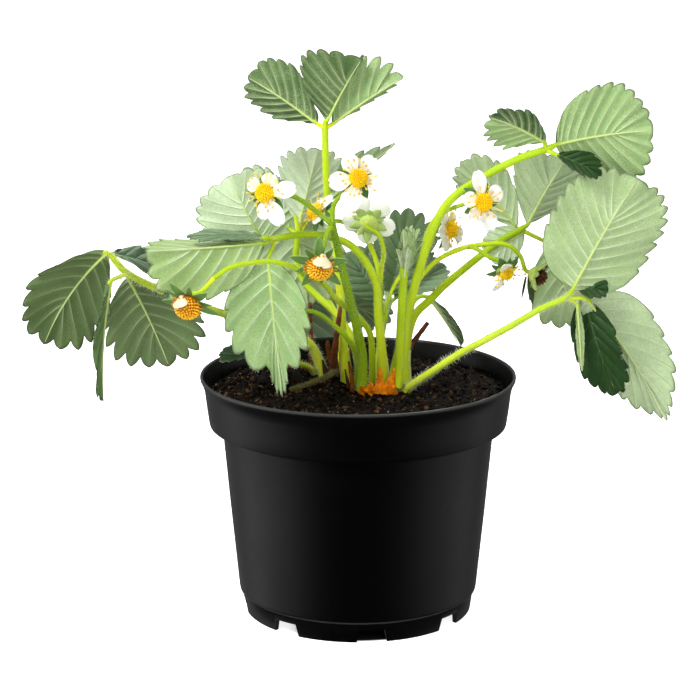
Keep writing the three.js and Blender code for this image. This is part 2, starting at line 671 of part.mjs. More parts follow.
// profile holds shares of the crown's radius, with heights
function stockSolid({ centre, radii }, profile) {
  const geometry = turned(profile, CROWN_SEGMENTS);
  geometry.scale(radii[0], radii[1], 1);
  geometry.translate(centre[0], centre[1], 0);
  return toSolid(geometry);
}

const stock = (crown) => stockSolid(crown, [[0, CROWN_TOP - CROWN_DEPTH], [0.75, CROWN_TOP - 0.8 * CROWN_DEPTH],
  [0.97, CROWN_TOP - 3], [0.93, CROWN_TOP], [0, CROWN_TOP]]);
const stockHole = (crown) => stockSolid(crown, [[0, CROWN_TOP - CROWN_DEPTH - GAP],
  [0.8, CROWN_TOP - 0.8 * CROWN_DEPTH - GAP], [1, CROWN_TOP - 3], [1, CROWN_TOP + 4], [0, CROWN_TOP + 4]]);

// Dry stalks, torn sheaths and fallen stems that hang together with the side crown
const DRY_PARTS = [
  { points: [[-7.8, 14.2, 94], [-7.2, 13, 105.5], [-8.4, 12.5, 120], [-9.1, 12, 132]], girth: [1.9, 0.6] },
  { points: [[-19.5, 21, 94], [-19.7, 20, 105], [-20.2, 19, 125.5]], girth: [1.2, 0.6] },
  { points: [[-10.5, 17, 94], [-10, 16, 99], [-9.6, 15.5, 108]], girth: [1.9, 0.7], flat: 0.4, wide: [1, 0, 0] },
  { points: [[-6.8, 16.2, 94], [-3.2, 14, 99], [-2.5, 13.5, 107]], girth: [1.7, 0.5], flat: 0.4, wide: [1, 0.4, 0] },
  { points: [[-17, 22, 94], [-23, 20, 98], [-29, 18.5, 99.5]], girth: [0.9, 0.6] },
  { points: [[-9, 14.5, 94.2], [-9.8, 8, 99], [-12.5, 1, 98.8], [-19, -4.5, 97.4], [-28, -8.5, 96.2]],
    girth: [1.4, 0.8] },
];

const dryTube = ({ points, girth, flat, wide, standing }) => toSolid(tube({
  points, radius: taper(...girth), flat, wide, standing,
}));

// Orange scale leaves that wrap the front of the main crown
const SCALES = [
  { points: [[3.4, -12.2, 95.8], [2.8, -13, 97.5], [2.6, -13.2, 99.5]], girth: [2.2, 0.5] },
  { points: [[6.2, -12.8, 95.8], [6.4, -13.6, 98.5], [8.2, -13.4, 104.6]], girth: [1.9, 0.45] },
  { points: [[9, -13, 95.8], [9.6, -13.8, 97.5], [9.2, -14, 100]], girth: [1.9, 0.5] },
  { points: [[11.4, -12.8, 95.8], [12.2, -13.6, 98.8], [14.2, -13, 104.6]], girth: [1.9, 0.45] },
  { points: [[14.2, -12, 95.8], [15, -12.8, 97.5], [15.6, -13, 99.5]], girth: [1.5, 0.5] },
];
const SCALE_ROOT = { points: [[2, -12, 96.2], [9, -13.2, 96.2], [15.8, -11.6, 96.2]], girth: [0.95, 0.95] };

function scalesSolid() {
  return fuse([SCALE_ROOT, ...SCALES.map((scale) => ({ ...scale, flat: 0.42, wide: [1, 0, 0] }))].map(dryTube));
}

// A broken brown stub of an old leaf stalk, behind the right-hand stems
const STUB = { points: [[16, 12.4, 95.2], [17.4, 13.4, 101], [22.5, 14.5, 109], [29, 15, 118]], girth: [1.2, 0.9],
  standing: true };

// Pot: one turned shell, with notches round its foot ring

const POT_OUTSIDE = [[47.2, 0], [48.4, FOOT_EDGE - 0.8], [49.4, FOOT_EDGE], [52.9, 44], [56.2, BAND_FOOT],
  [61.3, BAND_FOOT], [63, 93], [63.8, 96], [RIM_RADIUS, 98.8], [RIM_RADIUS, POT_HEIGHT]];
const POT_INSIDE = [[RIM_RADIUS - 1.1, POT_HEIGHT], [61.8, 93], [60.1, BAND_FOOT + WALL],
  [54.9, BAND_FOOT + WALL], [51.7, 44], [48.2, FLOOR_LEVEL + WALL]];
const FOOT_RING_INSIDE = [[45.6, FLOOR_LEVEL], [45.2, 0]];

function notchCutter(angle) {
  const shape = new THREE.Shape([
    new THREE.Vector2(-NOTCH_WIDTH / 2, -1),
    new THREE.Vector2(NOTCH_WIDTH / 2, -1),
    new THREE.Vector2(NOTCH_TOP_WIDTH / 2, NOTCH_HEIGHT),
    new THREE.Vector2(-NOTCH_TOP_WIDTH / 2, NOTCH_HEIGHT),
  ]);
  const geometry = new THREE.ExtrudeGeometry(shape, { depth: 14, bevelEnabled: false });
  geometry.rotateX(Math.PI / 2);
  geometry.translate(0, 54, 0);
  geometry.rotateZ(angle - Math.PI / 2);
  return toSolid(geometry);
}

function potSolid() {
  const shell = toSolid(turned([
    [0, FLOOR_LEVEL], ...FOOT_RING_INSIDE, ...POT_OUTSIDE, ...POT_INSIDE, [0, FLOOR_LEVEL + WALL],
  ], POT_SEGMENTS));
  const notches = range(NOTCH_COUNT).map((i) => notchCutter(radians(NOTCH_FIRST_ANGLE + (360 / NOTCH_COUNT) * i)));
  return shell.subtract(fuse(notches));
}

// Soil: fills the pot to a rough mound, with a plain hole for each crown

function roughTop(geometry) {
  const position = geometry.attributes.position;
  for (const i of range(position.count)) {
    const [x, y, z] = [position.getX(i), position.getY(i), position.getZ(i)];
    if (z < SOIL_LEVEL) continue;
    const bumps = Math.sin(0.37 * x + 1.3) * Math.cos(0.41 * y) + 0.6 * Math.sin(0.9 * x - 0.7 * y);
    position.setZ(i, z + SOIL_ROUGHNESS * bumps);
  }
  return geometry;
}

const SOIL_GAP = 0.55;
const SOIL_SIDE = [[0, FLOOR_LEVEL + WALL + GAP], [48.2 - SOIL_GAP, FLOOR_LEVEL + WALL + GAP], [51.7 - SOIL_GAP, 44],
  [54.9 - SOIL_GAP, BAND_FOOT + WALL + GAP], [60.1 - SOIL_GAP, BAND_FOOT + WALL + GAP]];
const SOIL_TOP = [[61.8 - SOIL_GAP, SOIL_LEVEL], [51, 93.4], [39, 93.9], [26, 94.3], [0, SOIL_CROWN]];

function soilSolid() {
  const bulk = toSolid(roughTop(turned([...SOIL_SIDE, ...SOIL_TOP], SOIL_SEGMENTS)));
  return bulk.subtract(stockHole(CROWN)).subtract(stockHole(SIDE_CROWN));
}

// Assembly

const plant = new THREE.Group();

function place(name, solid, finish) {
  const mesh = new THREE.Mesh(toGeometry(solid), finish);
  mesh.name = name;
  plant.add(mesh);
}

place('pot', potSolid(), FINISH.pot);
place('soil', soilSolid(), FINISH.soil);
place('crown', stock(CROWN), FINISH.crown);
place('crown_scales', scalesSolid(), FINISH.scale);
place('side_crown', fuse([stock(SIDE_CROWN), ...DRY_PARTS.map(dryTube)]), FINISH.dry);
place('old_stub', dryTube(STUB), FINISH.dry);

const DARK_LEAVES = ['leaf_back', 'leaf_folded', 'leaf_at_rim', 'leaf_far_left'];
for (const [name, leaf] of Object.entries(LEAVES)) {
  place(name, leafSolid(leaf), DARK_LEAVES.includes(name) ? FINISH.darkLeaf : FINISH.leaf);
}
place('young_leaf', youngLeafSolid(), FINISH.leaf);

for (const [name, truss] of Object.entries(TRUSSES)) place(name, trussSolid(truss), FINISH.stalk);
place('bud_stalk', budSolid(), FINISH.stalk);

const HEARTS = {
  berry_1: { finish: FINISH.ripeningHeart, radius: 5, height: 5.5, stamens: 0 },
  berry_2: { finish: FINISH.ripeningHeart, radius: 4.6, height: 5, stamens: 0 },
  withered_bloom: { finish: FINISH.witheredHeart, radius: 3.4, height: 3.4, stamens: 4 },
};
const COMMON_HEART = { finish: FINISH.heart, radius: 3.5, height: 3.3, stamens: 8 };
for (const [name, bloom] of Object.entries(BLOOMS)) {
  const heart = HEARTS[name] ?? COMMON_HEART;
  const low = bloom.petals > 0 ? GAP : CALYX_TOP + GAP;
  if (bloom.petals > 0) place(`${name}_petals`, atBloom(petalsSolid(bloom), bloom), FINISH.petal);
  place(`${name}_heart`, atBloom(heartSolid(low, heart), bloom), heart.finish);
}

export default plant;
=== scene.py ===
"""Potted strawberry plant in flower: the dressed model, its studio and its camera.

Lengths in the tables are millimetres in the frame of the CAD part; meshes are made in metres.
"""

from __future__ import annotations

import logging
import math
import random
from dataclasses import dataclass, field
from enum import Enum
from typing import Callable, Iterable, Sequence, Union

import bpy
import numpy as np
from mathutils import Euler, Matrix, Vector, noise


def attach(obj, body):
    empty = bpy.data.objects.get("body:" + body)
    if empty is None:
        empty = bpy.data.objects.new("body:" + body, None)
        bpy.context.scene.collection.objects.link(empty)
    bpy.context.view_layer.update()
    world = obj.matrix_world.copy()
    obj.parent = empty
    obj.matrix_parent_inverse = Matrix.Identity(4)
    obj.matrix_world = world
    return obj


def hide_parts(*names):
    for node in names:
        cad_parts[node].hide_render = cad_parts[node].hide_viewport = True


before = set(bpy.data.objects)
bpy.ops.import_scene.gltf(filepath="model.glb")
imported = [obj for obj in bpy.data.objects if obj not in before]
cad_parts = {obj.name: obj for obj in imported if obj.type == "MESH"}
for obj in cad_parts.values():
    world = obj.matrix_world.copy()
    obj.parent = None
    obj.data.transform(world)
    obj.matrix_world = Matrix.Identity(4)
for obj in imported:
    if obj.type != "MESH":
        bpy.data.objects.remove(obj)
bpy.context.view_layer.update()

LOG = logging.getLogger("strawberry_plant")

MM = 0.001
BODY = "root"
SEED = 4711

Point = tuple[float, float, float]
Colour = tuple[float, float, float]
Span = tuple[float, float]
Socket = bpy.types.NodeSocket
Source = Union[Socket, float, Colour]
Inputs = dict[Union[str, int], Source]

WHITE: Colour = (1.0, 1.0, 1.0)

# Short runs between two points of a curve, and ribs round a stalk
CURVE_STEPS = 6
STALK_RIBS = 5

# A stalk goes this far into the soil, and its foot is swollen by a share that fades upwards
FOOT_DEPTH = 4.0
FOOT_SWELL = 0.3
FOOT_SWELL_FADE = 14

# A hair's width, its root as a share of the stalk's radius, its lean and its range of lengths
HAIR_WIDTH = 0.055
HAIR_ROOT = 0.93
HAIR_LEAN = 0.35
HAIR_LENGTHS = (0.6, 1.35)


def linear(red: int, green: int, blue: int) -> Colour:
    """Gives the linear colour of a display colour with parts from 0 to 255."""
    def part(value: int) -> float:
        """Gives one linear part of the colour."""
        share = value / 255
        return share / 12.92 if share <= 0.04045 else ((share + 0.055) / 1.055) ** 2.4
    return part(red), part(green), part(blue)


def toned(colour: Colour, light: float) -> Colour:
    """Gives a colour at another lightness."""
    return tuple(part * light for part in colour)


def smoothstep(low: float, high: float, value: np.ndarray | float) -> np.ndarray | float:
    """Rises smoothly from 0 at low to 1 at high."""
    share = np.clip((value - low) / (high - low), 0, 1)
    return share * share * (3 - 2 * share)


def unit(vector: np.ndarray) -> np.ndarray:
    """Gives the vector at length 1."""
    return vector / max(float(np.linalg.norm(vector)), 1e-9)


def round_angles(count: int) -> np.ndarray:
    """Gives angles spaced evenly round a circle."""
    return 2 * np.pi * np.arange(count) / count


def spoke(angle: float, level: float = 0.0) -> np.ndarray:
    """Gives the direction at an angle round the upright axis, raised by a level."""
    return np.array([math.cos(angle), math.sin(angle), level])


def place_object(name: str, data: bpy.types.ID) -> bpy.types.Object:
    """Makes an object of a mesh, a light or a camera and puts it in the scene."""
    item = bpy.data.objects.new(name, data)
    bpy.context.scene.collection.objects.link(item)
    return item


# Mesh drafting


class Draft:
    """Collects the points, faces and surface values of one piece.

    The value place holds where on a leaflet or tube a point lies, scale holds lengths in
    millimetres there, and tint is the local colour.
    """

    def __init__(self, name: str) -> None:
        """Starts an empty draft.

        Args:
            name: the piece's name.
        """
        self.name = name
        self.points: list[np.ndarray] = []
        self.faces: list[list[int]] = []
        self.slots: list[int] = []
        self.place: list[np.ndarray] = []
        self.scale: list[np.ndarray] = []
        self.tint: list[np.ndarray] = []
        self.count = 0

    def add(self, points: np.ndarray, faces: Iterable[Sequence[int]], slot: int = 0,
            tint: Colour | np.ndarray = WHITE, place: np.ndarray | None = None,
            scale: np.ndarray | None = None) -> None:
        """Adds points in millimetres and the faces between them.

        Args:
            points: one row for each point.
            faces: corner numbers, counted from this call's first point.
            slot: the material slot of these faces.
            tint: one colour for all points or one for each.
            place: one row of three values for each point.
            scale: one row of three values for each point.
        """
        size = len(points)
        empty = np.zeros((size, 3))
        self.points.append(np.asarray(points, float))
        self.tint.append(np.broadcast_to(np.asarray(tint, float), (size, 3)))
        self.place.append(empty if place is None else place)
        self.scale.append(empty if scale is None else scale)
        for face in faces:
            self.faces.append([corner + self.count for corner in face])
            self.slots.append(slot)
        self.count += size

    def dye(self, colour: Colour) -> None:
        """Multiplies every tint by a colour."""
        self.tint = [tint * np.array(colour) for tint in self.tint]

    def mesh(self) -> bpy.types.Mesh:
        """Makes the mesh of the points and faces, in metres."""
        mesh = bpy.data.meshes.new(self.name)
        mesh.from_pydata((np.concatenate(self.points) * MM).tolist(), [], self.faces)
        return mesh

    def piece(self, finishes: Sequence[Finish], slot: str, replaces: Sequence[str] = ()) -> bpy.types.Object:
        """Makes the mesh object and sets it on the frame.

        Args:
            finishes: one for each slot used in add.
            slot: the name of a material slot; not used.
            replaces: the CAD nodes that the piece stands for.

        Returns:
            The new object.
        """
        mesh = self.mesh()
        for name, rows in (("place", self.place), ("scale", self.scale)):
            layer = mesh.attributes.new(name, "FLOAT_VECTOR", "POINT")
            layer.data.foreach_set("vector", np.concatenate(rows).astype(np.float32).ravel())
        tints = np.concatenate(self.tint)
        tints = np.hstack([tints, np.ones((len(tints), 1))]).astype(np.float32)
        mesh.attributes.new("tint", "FLOAT_COLOR", "POINT").data.foreach_set("color", tints.ravel())
        for finish in finishes:
            mesh.materials.append(finish.material())
        mesh.polygons.foreach_set("material_index", np.array(self.slots, np.int32))
        mesh.shade_smooth()
        mesh.validate()
        mesh.update()
        return settle(place_object(self.name, mesh), replaces)


def settle(piece: bpy.types.Object, replaces: Sequence[str] = ()) -> bpy.types.Object:
    """Makes a finished piece ride on the plant's body and reports it.

    Args:
        piece: the object, in place.
        replaces: the CAD nodes that it stands for.

    Returns:
        The same object.
    """
    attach(piece, BODY)
    if replaces:
        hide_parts(*replaces)
    LOG.info("%s: %d faces", piece.name, len(piece.data.polygons))
    return piece


def smooth_path(points: Sequence[Point | np.ndarray], steps: int = CURVE_STEPS) -> np.ndarray:
    """Runs a smooth curve through points.

    Args:
        points: the points on the curve.
        steps: the number of short runs between two of them.

    Returns:
        The curve's points, one row each.
    """
    knots = np.array(points, float)
    if len(knots) < 3:
        return np.linspace(knots[0], knots[-1], steps + 1)
    padded = np.vstack([2 * knots[0] - knots[1], knots, 2 * knots[-1] - knots[-2]])
    rows = []
    for i in range(1, len(padded) - 2):
        before, start, end, after = padded[i - 1:i + 3]
        for t in np.arange(steps) / steps:
            rows.append(0.5 * (2 * start + (end - before) * t
                               + (2 * before - 5 * start + 4 * end - after) * t ** 2
                               + (3 * start - before - 3 * end + after) * t ** 3))
    rows.append(knots[-1])
    return np.array(rows)


def along(path: np.ndarray) -> np.ndarray:
    """Gives each point's distance along the path."""
    return np.concatenate([[0.0], np.cumsum(np.linalg.norm(np.diff(path, axis=0), axis=1))])


def path_frames(path: np.ndarray) -> tuple[np.ndarray, np.ndarray, np.ndarray]:
    """Gives the tangents of a path and two directions across it that don't twist."""
    tangents = np.gradient(path, axis=0)
    tangents /= np.maximum(np.linalg.norm(tangents, axis=1, keepdims=True), 1e-9)
    across = np.array([1.0, 0.3, 0.2])
    sides = []
    for tangent in tangents:
        across = unit(across - tangent * across.dot(tangent))
        sides.append(across)
    sides = np.array(sides)
    return tangents, sides, np.cross(tangents, sides)


def stalk_radii(path: np.ndarray, girth: Span) -> np.ndarray:
    """Gives the radii of a stalk that tapers upwards from its swollen foot.

    Args:
        path: the stalk's centre line.
        girth: its radius at the foot, without the swelling, and at the end.

    Returns:
        The radius at each point of the path.
    """
    run = along(path) / along(path)[-1]
    return girth[0] + (girth[1] - girth[0]) * run + FOOT_SWELL * girth[0] * np.exp(-FOOT_SWELL_FADE * run)


def ring_faces(rings: int, sides: int, flip: bool = False, caps: bool = True) -> list[list[int]]:
    """Gives the faces between rings of points.

    Args:
        rings: the number of rings.
        sides: points on each ring.
        flip: whether the faces look the other way.
        caps: whether the first and the last ring are closed.

    Returns:
        The corner numbers of each face.
    """
    faces = []
    for i in range(rings - 1):
        for j in range(sides):
            a, b = i * sides + j, i * sides + (j + 1) % sides
            faces.append([a, a + sides, b + sides, b] if flip else [a, b, b + sides, a + sides])
    if caps:
        first = list(range(sides))
        last = [(rings - 1) * sides + j for j in first]
        faces += [first, last[::-1]] if flip else [first[::-1], last]
    return faces


def turned(profile: Sequence[Span], sides: int) -> np.ndarray:
    """Gives the rings of points of a profile of radii and levels, turned round the upright axis."""
    angles = round_angles(sides)
    return np.concatenate([
        np.stack([radius * np.cos(angles), radius * np.sin(angles), np.full(sides, level)], -1)
        for radius, level in profile])


def add_tube(draft: Draft, path: np.ndarray, radii: np.ndarray, sides: int = 8, slot: int = 0,
             tint: Colour | np.ndarray = WHITE, flat: float = 1.0, ribs: float = 0.0) -> None:
    """Adds a closed round or flattened tube along a path.

    Args:
        draft: the draft that it goes into.
        path: the centre line.
        radii: the radius at each point of the path.
        sides: corners of the section.
        slot: material slot.
        tint: one colour, or one for each point of the path.
        flat: the section's second radius as a share of the first.
        ribs: depth of the lengthwise ribs as a share of the radius.
    """
    _, across, through = path_frames(path)
    angles = round_angles(sides)
    ring = 1 + ribs * np.cos(STALK_RIBS * angles)
    radii = np.asarray(radii, float)[:, None, None]
    points = (path[:, None] + radii * (across[:, None] * (ring * np.cos(angles))[None, :, None]
                                       + through[:, None] * (flat * ring * np.sin(angles))[None, :, None]))
    run = along(path)
    place = np.zeros((len(path), sides, 3))
    place[..., 0] = angles / (2 * np.pi)
    place[..., 1] = run[:, None]
    place[..., 2] = (run / run[-1])[:, None]
    tints = np.asarray(tint, float)
    if tints.ndim == 2:
        tints = np.repeat(tints, sides, axis=0)
    draft.add(points.reshape(-1, 3), ring_faces(len(path), sides), slot, tints, place.reshape(-1, 3))


def add_hairs(draft: Draft, path: np.ndarray, radii: np.ndarray, rng: random.Random, density: float,
              length: float) -> None:
    """Sets fine spreading hairs on a tube.

    Args:
        draft: the draft that they go into.
        path: the tube's centre line.
        radii: the tube's radius at each point of the path.
        rng: the source of chance.
        density: hairs for each millimetre of the path.
        length: the mean length of a hair.
    """
    tangents, across, through = path_frames(path)
    run = along(path)
    for _ in range(int(run[-1] * density)):
        here = rng.uniform(0, run[-1])
        i = min(int(np.searchsorted(run, here)), len(path) - 1)
        j = max(i - 1, 0)
        share = (here - run[j]) / max(run[i] - run[j], 1e-6)
        centre = path[j] + (path[i] - path[j]) * share
        radius = radii[j] + (radii[i] - radii[j]) * share
        angle = rng.uniform(0, 2 * math.pi)
        outward = across[i] * math.cos(angle) + through[i] * math.sin(angle)
        lean = unit(outward + tangents[i] * rng.uniform(-HAIR_LEAN, HAIR_LEAN))
        add_hair(draft, centre + outward * radius * HAIR_ROOT, lean, tangents[i],
                 length * rng.uniform(*HAIR_LENGTHS))


def add_hair(draft: Draft, root: np.ndarray, lean: np.ndarray, side: np.ndarray, length: float) -> None:
    """Adds one hair, a thin pointed pyramid."""
    second = np.cross(lean, side) * HAIR_WIDTH
    back = root - side * HAIR_WIDTH * 0.5
    points = np.array([root + side * HAIR_WIDTH, back + second, back - second, root + lean * length])
    draft.add(points, [(0, 1, 3), (1, 2, 3), (2, 0, 3), (0, 2, 1)])


def add_bead(draft: Draft, centre: np.ndarray, radii: Sequence[float], axis: Sequence[float], slot: int = 0,
             tint: Colour = WHITE, around: int = 6, rings: int = 4) -> None:
    """Adds a small round or long bead.

    Args:
        draft: the draft that it goes into.
        centre: its centre.
        radii: the radius across its axis and the radius along it.
        axis: the direction of its axis.
        slot: material slot.
        tint: colour.
        around: corners round the axis.
        rings: bands along the axis.
    """
    axis = unit(np.asarray(axis, float))
    side = unit(np.cross(axis, [0.31, 0.52, 0.79]))
    other = np.cross(axis, side)
    points = [centre - axis * radii[1]]
    for ring in range(1, rings):
        polar = math.pi * ring / rings
        for corner in range(around):
            angle = 2 * math.pi * corner / around
            points.append(centre - axis * radii[1] * math.cos(polar) + radii[0] * math.sin(polar)
                          * (side * math.cos(angle) + other * math.sin(angle)))
    points.append(centre + axis * radii[1])
    faces: list[tuple[int, ...]] = []
    last = len(points) - 1
    for corner in range(around):
        after = (corner + 1) % around
        faces.append((0, 1 + after, 1 + corner))
        for ring in range(rings - 2):
            a, b = 1 + ring * around + corner, 1 + ring * around + after
            faces.append((a, b, b + around, a + around))
        faces.append((last - around + corner, last - around + after, last))
    draft.add(np.array(points), faces, slot, tint)


@dataclass(frozen=True)
class Stalk:
    """How a hairy green stalk is made: its section, its tint and its hairs.

    The first run of a rooted stalk is in the soil and has no hairs. hair is the number of
    hairs for each millimetre.
    """

    sides: int
    hair: float
    hair_length: float
    tint: Colour = WHITE
    ribs: float = 0.0
    rooted: bool = False

    def add_to(self, draft: Draft, hairs: Draft, path: np.ndarray, radii: np.ndarray,
               rng: random.Random) -> None:
        """Adds the stalk and its hairs.

        Args:
            draft: the draft that it goes into.
            hairs: the draft that takes the hairs.
            path: its centre line.
            radii: its radius at each point of the path.
            rng: the source of chance.
        """
        add_tube(draft, path, radii, self.sides, tint=self.tint, ribs=self.ribs)
        bare = CURVE_STEPS if self.rooted else 0
        add_hairs(hairs, path[bare:], radii[bare:], rng, self.hair, self.hair_length)


@dataclass
class Sheet:
    """A thin blade before it gets its thickness: a grid of points with values on them."""

    points: np.ndarray
    faces: list[list[int]]
    place: np.ndarray
    scale: np.ndarray

    def welded(self) -> "Sheet":
        """Gives the same sheet with points that coincide made one."""
        keys = np.round(self.points, 4)
        _, first, back = np.unique(keys, axis=0, return_index=True, return_inverse=True)
        back = back.ravel()
        faces = []
        for face in self.faces:
            corners: list[int] = []
            for corner in (int(back[i]) for i in face):
                if corner not in corners:
                    corners.append(corner)
            if len(corners) > 2:
                faces.append(corners)
        return Sheet(self.points[first], faces, self.place[first], self.scale[first])

    def normals(self) -> np.ndarray:
        """Gives the mean direction in which the faces round each point look."""
        total = np.zeros_like(self.points)
        for face in self.faces:
            a, b, c = self.points[face[0]], self.points[face[1]], self.points[face[2]]
            normal = np.cross(b - a, c - a)
            if len(face) == 4:
                normal = normal + np.cross(c - a, self.points[face[3]] - a)
            for corner in face:
                total[corner] += normal
        return total / np.maximum(np.linalg.norm(total, axis=1, keepdims=True), 1e-9)

    def add_to(self, draft: Draft, thickness: float, upper: int, under: int,
               tints: tuple[Colour, Colour]) -> None:
        """Adds the sheet to a draft as a closed blade.

        Args:
            draft: the draft that it goes into.
            thickness: the blade's thickness.
            upper: material slot of the upper face.
            under: material slot of the under face and the rim.
            tints: colours of the upper and the under face.
        """
        sheet = self.welded()
        offset = sheet.normals() * (thickness / 2)
        edges: dict[tuple[int, int], bool] = {}
        for face in sheet.faces:
            for a, b in zip(face, face[1:] + face[:1]):
                edges[(a, b)] = True
        rim = [(a, b) for a, b in edges if (b, a) not in edges]
        draft.add(sheet.points + offset, sheet.faces, upper, tints[0], sheet.place, sheet.scale)
        first_upper = draft.count - len(sheet.points)
        draft.add(sheet.points - offset, [face[::-1] for face in sheet.faces], under, tints[1],
                  sheet.place, sheet.scale)
        first_under = draft.count - len(sheet.points)
        for a, b in rim:
            draft.faces.append([first_upper + b, first_upper + a, first_under + a, first_under + b])
            draft.slots.append(under)


def grid_faces(rows: int, columns: int, start: int = 0, flip: bool = False) -> list[list[int]]:
    """Gives the four-sided faces of a grid of points, counted from start."""
    faces = []
    for i in range(rows - 1):
        for j in range(columns - 1):
            a = start + i * columns + j
            face = [a, a + columns, a + columns + 1, a + 1]
            faces.append(face[::-1] if flip else face)
    return faces


def blade_grid(rows: int, columns: int) -> Sequence[np.ndarray]:
    """Gives the grid of a blade: shares of its length, and places across it from -1 to 1."""
    return np.meshgrid(np.linspace(0, 1, rows), np.linspace(-1, 1, columns), indexing="ij")


def grid_sheet(points: np.ndarray, u: np.ndarray, v: np.ndarray) -> Sheet:
    """Makes a sheet of a grid of points, from their shares of the length and places across."""
    place = np.stack([v, u, u], -1).reshape(-1, 3)
    return Sheet(points.reshape(-1, 3), grid_faces(*u.shape), place, place * 0)


# Materials


class Nodes:
    """Adds and links the nodes of one material or node group."""

    def __init__(self, tree: bpy.types.NodeTree) -> None:
        """Takes hold of a tree, which may hold nodes already."""
        self.tree = tree

    def feed(self, node: bpy.types.Node, inputs: Inputs) -> None:
        """Links a node's inputs, or sets plain values on them."""
        for name, source in inputs.items():
            target = node.inputs[name]
            if isinstance(source, bpy.types.NodeSocket):
                self.tree.links.new(source, target)
            elif isinstance(source, (int, float)):
                target.default_value = source
            else:
                target.default_value = (*source, 1.0) if len(target.default_value) == 4 else source

    def add(self, kind: str, inputs: Inputs | None = None, **settings: object) -> bpy.types.Node:
        """Adds a node of a kind, sets its own properties and feeds its inputs."""
        node = self.tree.nodes.new(kind)
        for name, value in settings.items():
            setattr(node, name, value)
        self.feed(node, inputs or {})
        return node

    def math(self, operation: str, first: Source, second: Source = 0.0, clamp: bool = False) -> Socket:
        """Adds a Math node and gives its result."""
        node = self.add("ShaderNodeMath", {0: first, 1: second}, operation=operation, use_clamp=clamp)
        return node.outputs[0]

    def times(self, first: Source, second: Source) -> Socket:
        """Multiplies two values."""
        return self.math("MULTIPLY", first, second)

    def plus(self, first: Source, second: Source) -> Socket:
        """Adds two values."""
        return self.math("ADD", first, second)

    def minus(self, first: Source, second: Source, clamp: bool = False) -> Socket:
        """Subtracts the second value from the first."""
        return self.math("SUBTRACT", first, second, clamp)

    def mix(self, share: Source, first: Source, second: Source, blend: str = "MIX") -> Socket:
        """Adds a colour Mix node and gives its result."""
        node = self.add("ShaderNodeMix", {0: share, 6: first, 7: second}, data_type="RGBA", blend_type=blend)
        return node.outputs[2]

    def coordinates(self, kind: str = "Object") -> Socket:
        """Gives the coordinates of a kind."""
        return self.add("ShaderNodeTexCoord").outputs[kind]

    def stretched(self, vector: Socket, scale: Point) -> Socket:
        """Gives coordinates times a scale."""
        return self.add("ShaderNodeMapping", {"Vector": vector, "Scale": scale}).outputs["Vector"]

    def split(self, vector: Socket) -> Sequence[Socket]:
        """Gives the three parts of a vector."""
        return self.add("ShaderNodeSeparateXYZ", {0: vector}).outputs

    def noise(self, scale: Source, detail: float, rough: float = 0.5, vector: Socket | None = None) -> Socket:
        """Adds a Noise texture and gives its value.

        Args:
            scale: waves for each unit of the coordinates.
            detail: number of finer layers.
            rough: strength of the finer layers.
            vector: the coordinates, if they aren't the object's own.

        Returns:
            The socket of the noise value.
        """
        inputs = {"Vector": vector or self.coordinates(), "Scale": scale, "Detail": detail,
                  "Roughness": rough}
        return self.add("ShaderNodeTexNoise", inputs).outputs["Fac"]

    def remap(self, value: Socket, low: float, high: float, to_low: float = 0.0,
              to_high: float = 1.0) -> Socket:
        """Maps a range of values smoothly to another, held at its ends."""
        inputs = {"Value": value, "From Min": low, "From Max": high, "To Min": to_low, "To Max": to_high}
        return self.add("ShaderNodeMapRange", inputs, interpolation_type="SMOOTHSTEP").outputs["Result"]

    def attribute(self, name: str, kind: str = "Vector") -> Socket:
        """Gives one of the mesh's own values."""
        return self.add("ShaderNodeAttribute", attribute_type="GEOMETRY", attribute_name=name).outputs[kind]

    def tint(self) -> Socket:
        """Gives the mesh's local colour."""
        return self.attribute("tint", "Color")

    def shaded(self, colour: Socket, light: Socket) -> Socket:
        """Multiplies a colour's lightness."""
        return self.add("ShaderNodeHueSaturation", {"Color": colour, "Value": light}).outputs["Color"]

    def bump(self, height: Socket, distance: float, strength: float = 1.0) -> Socket:
        """Adds a Bump node, its distance in millimetres, and gives its normal."""
        inputs = {"Distance": distance * MM, "Strength": strength, "Height": height}
        return self.add("ShaderNodeBump", inputs).outputs["Normal"]

    def mottle(self, broad: Span, fine: Span) -> Socket:
        """Places the unevenness group: scale and strength of its broad and of its fine layer."""
        inputs = {"Broad Scale": broad[0], "Broad": broad[1], "Fine Scale": fine[0], "Fine": fine[1]}
        return self.add("ShaderNodeGroup", inputs, node_tree=mottle_group()).outputs["Value"]


def node_group(name: str, inputs: dict[str, float], outputs: Sequence[str],
               build: Callable[[Nodes, dict[str, Socket]], Inputs]) -> bpy.types.NodeTree:
    """Makes a shader node group of number inputs and outputs, once.

    Args:
        name: the group's name.
        inputs: names and default values.
        outputs: names of the output sockets.
        build: makes the nodes, from the input sockets to what feeds the outputs.

    Returns:
        The group.
    """
    if name in bpy.data.node_groups:
        return bpy.data.node_groups[name]
    tree = bpy.data.node_groups.new(name, "ShaderNodeTree")
    for label, value in inputs.items():
        socket = tree.interface.new_socket(name=label, in_out="INPUT", socket_type="NodeSocketFloat")
        socket.default_value = value
    for label in outputs:
        tree.interface.new_socket(name=label, in_out="OUTPUT", socket_type="NodeSocketFloat")
    nodes = Nodes(tree)
    entry = nodes.add("NodeGroupInput")
    nodes.add("NodeGroupOutput", build(nodes, {label: entry.outputs[label] for label in inputs}))
    return tree


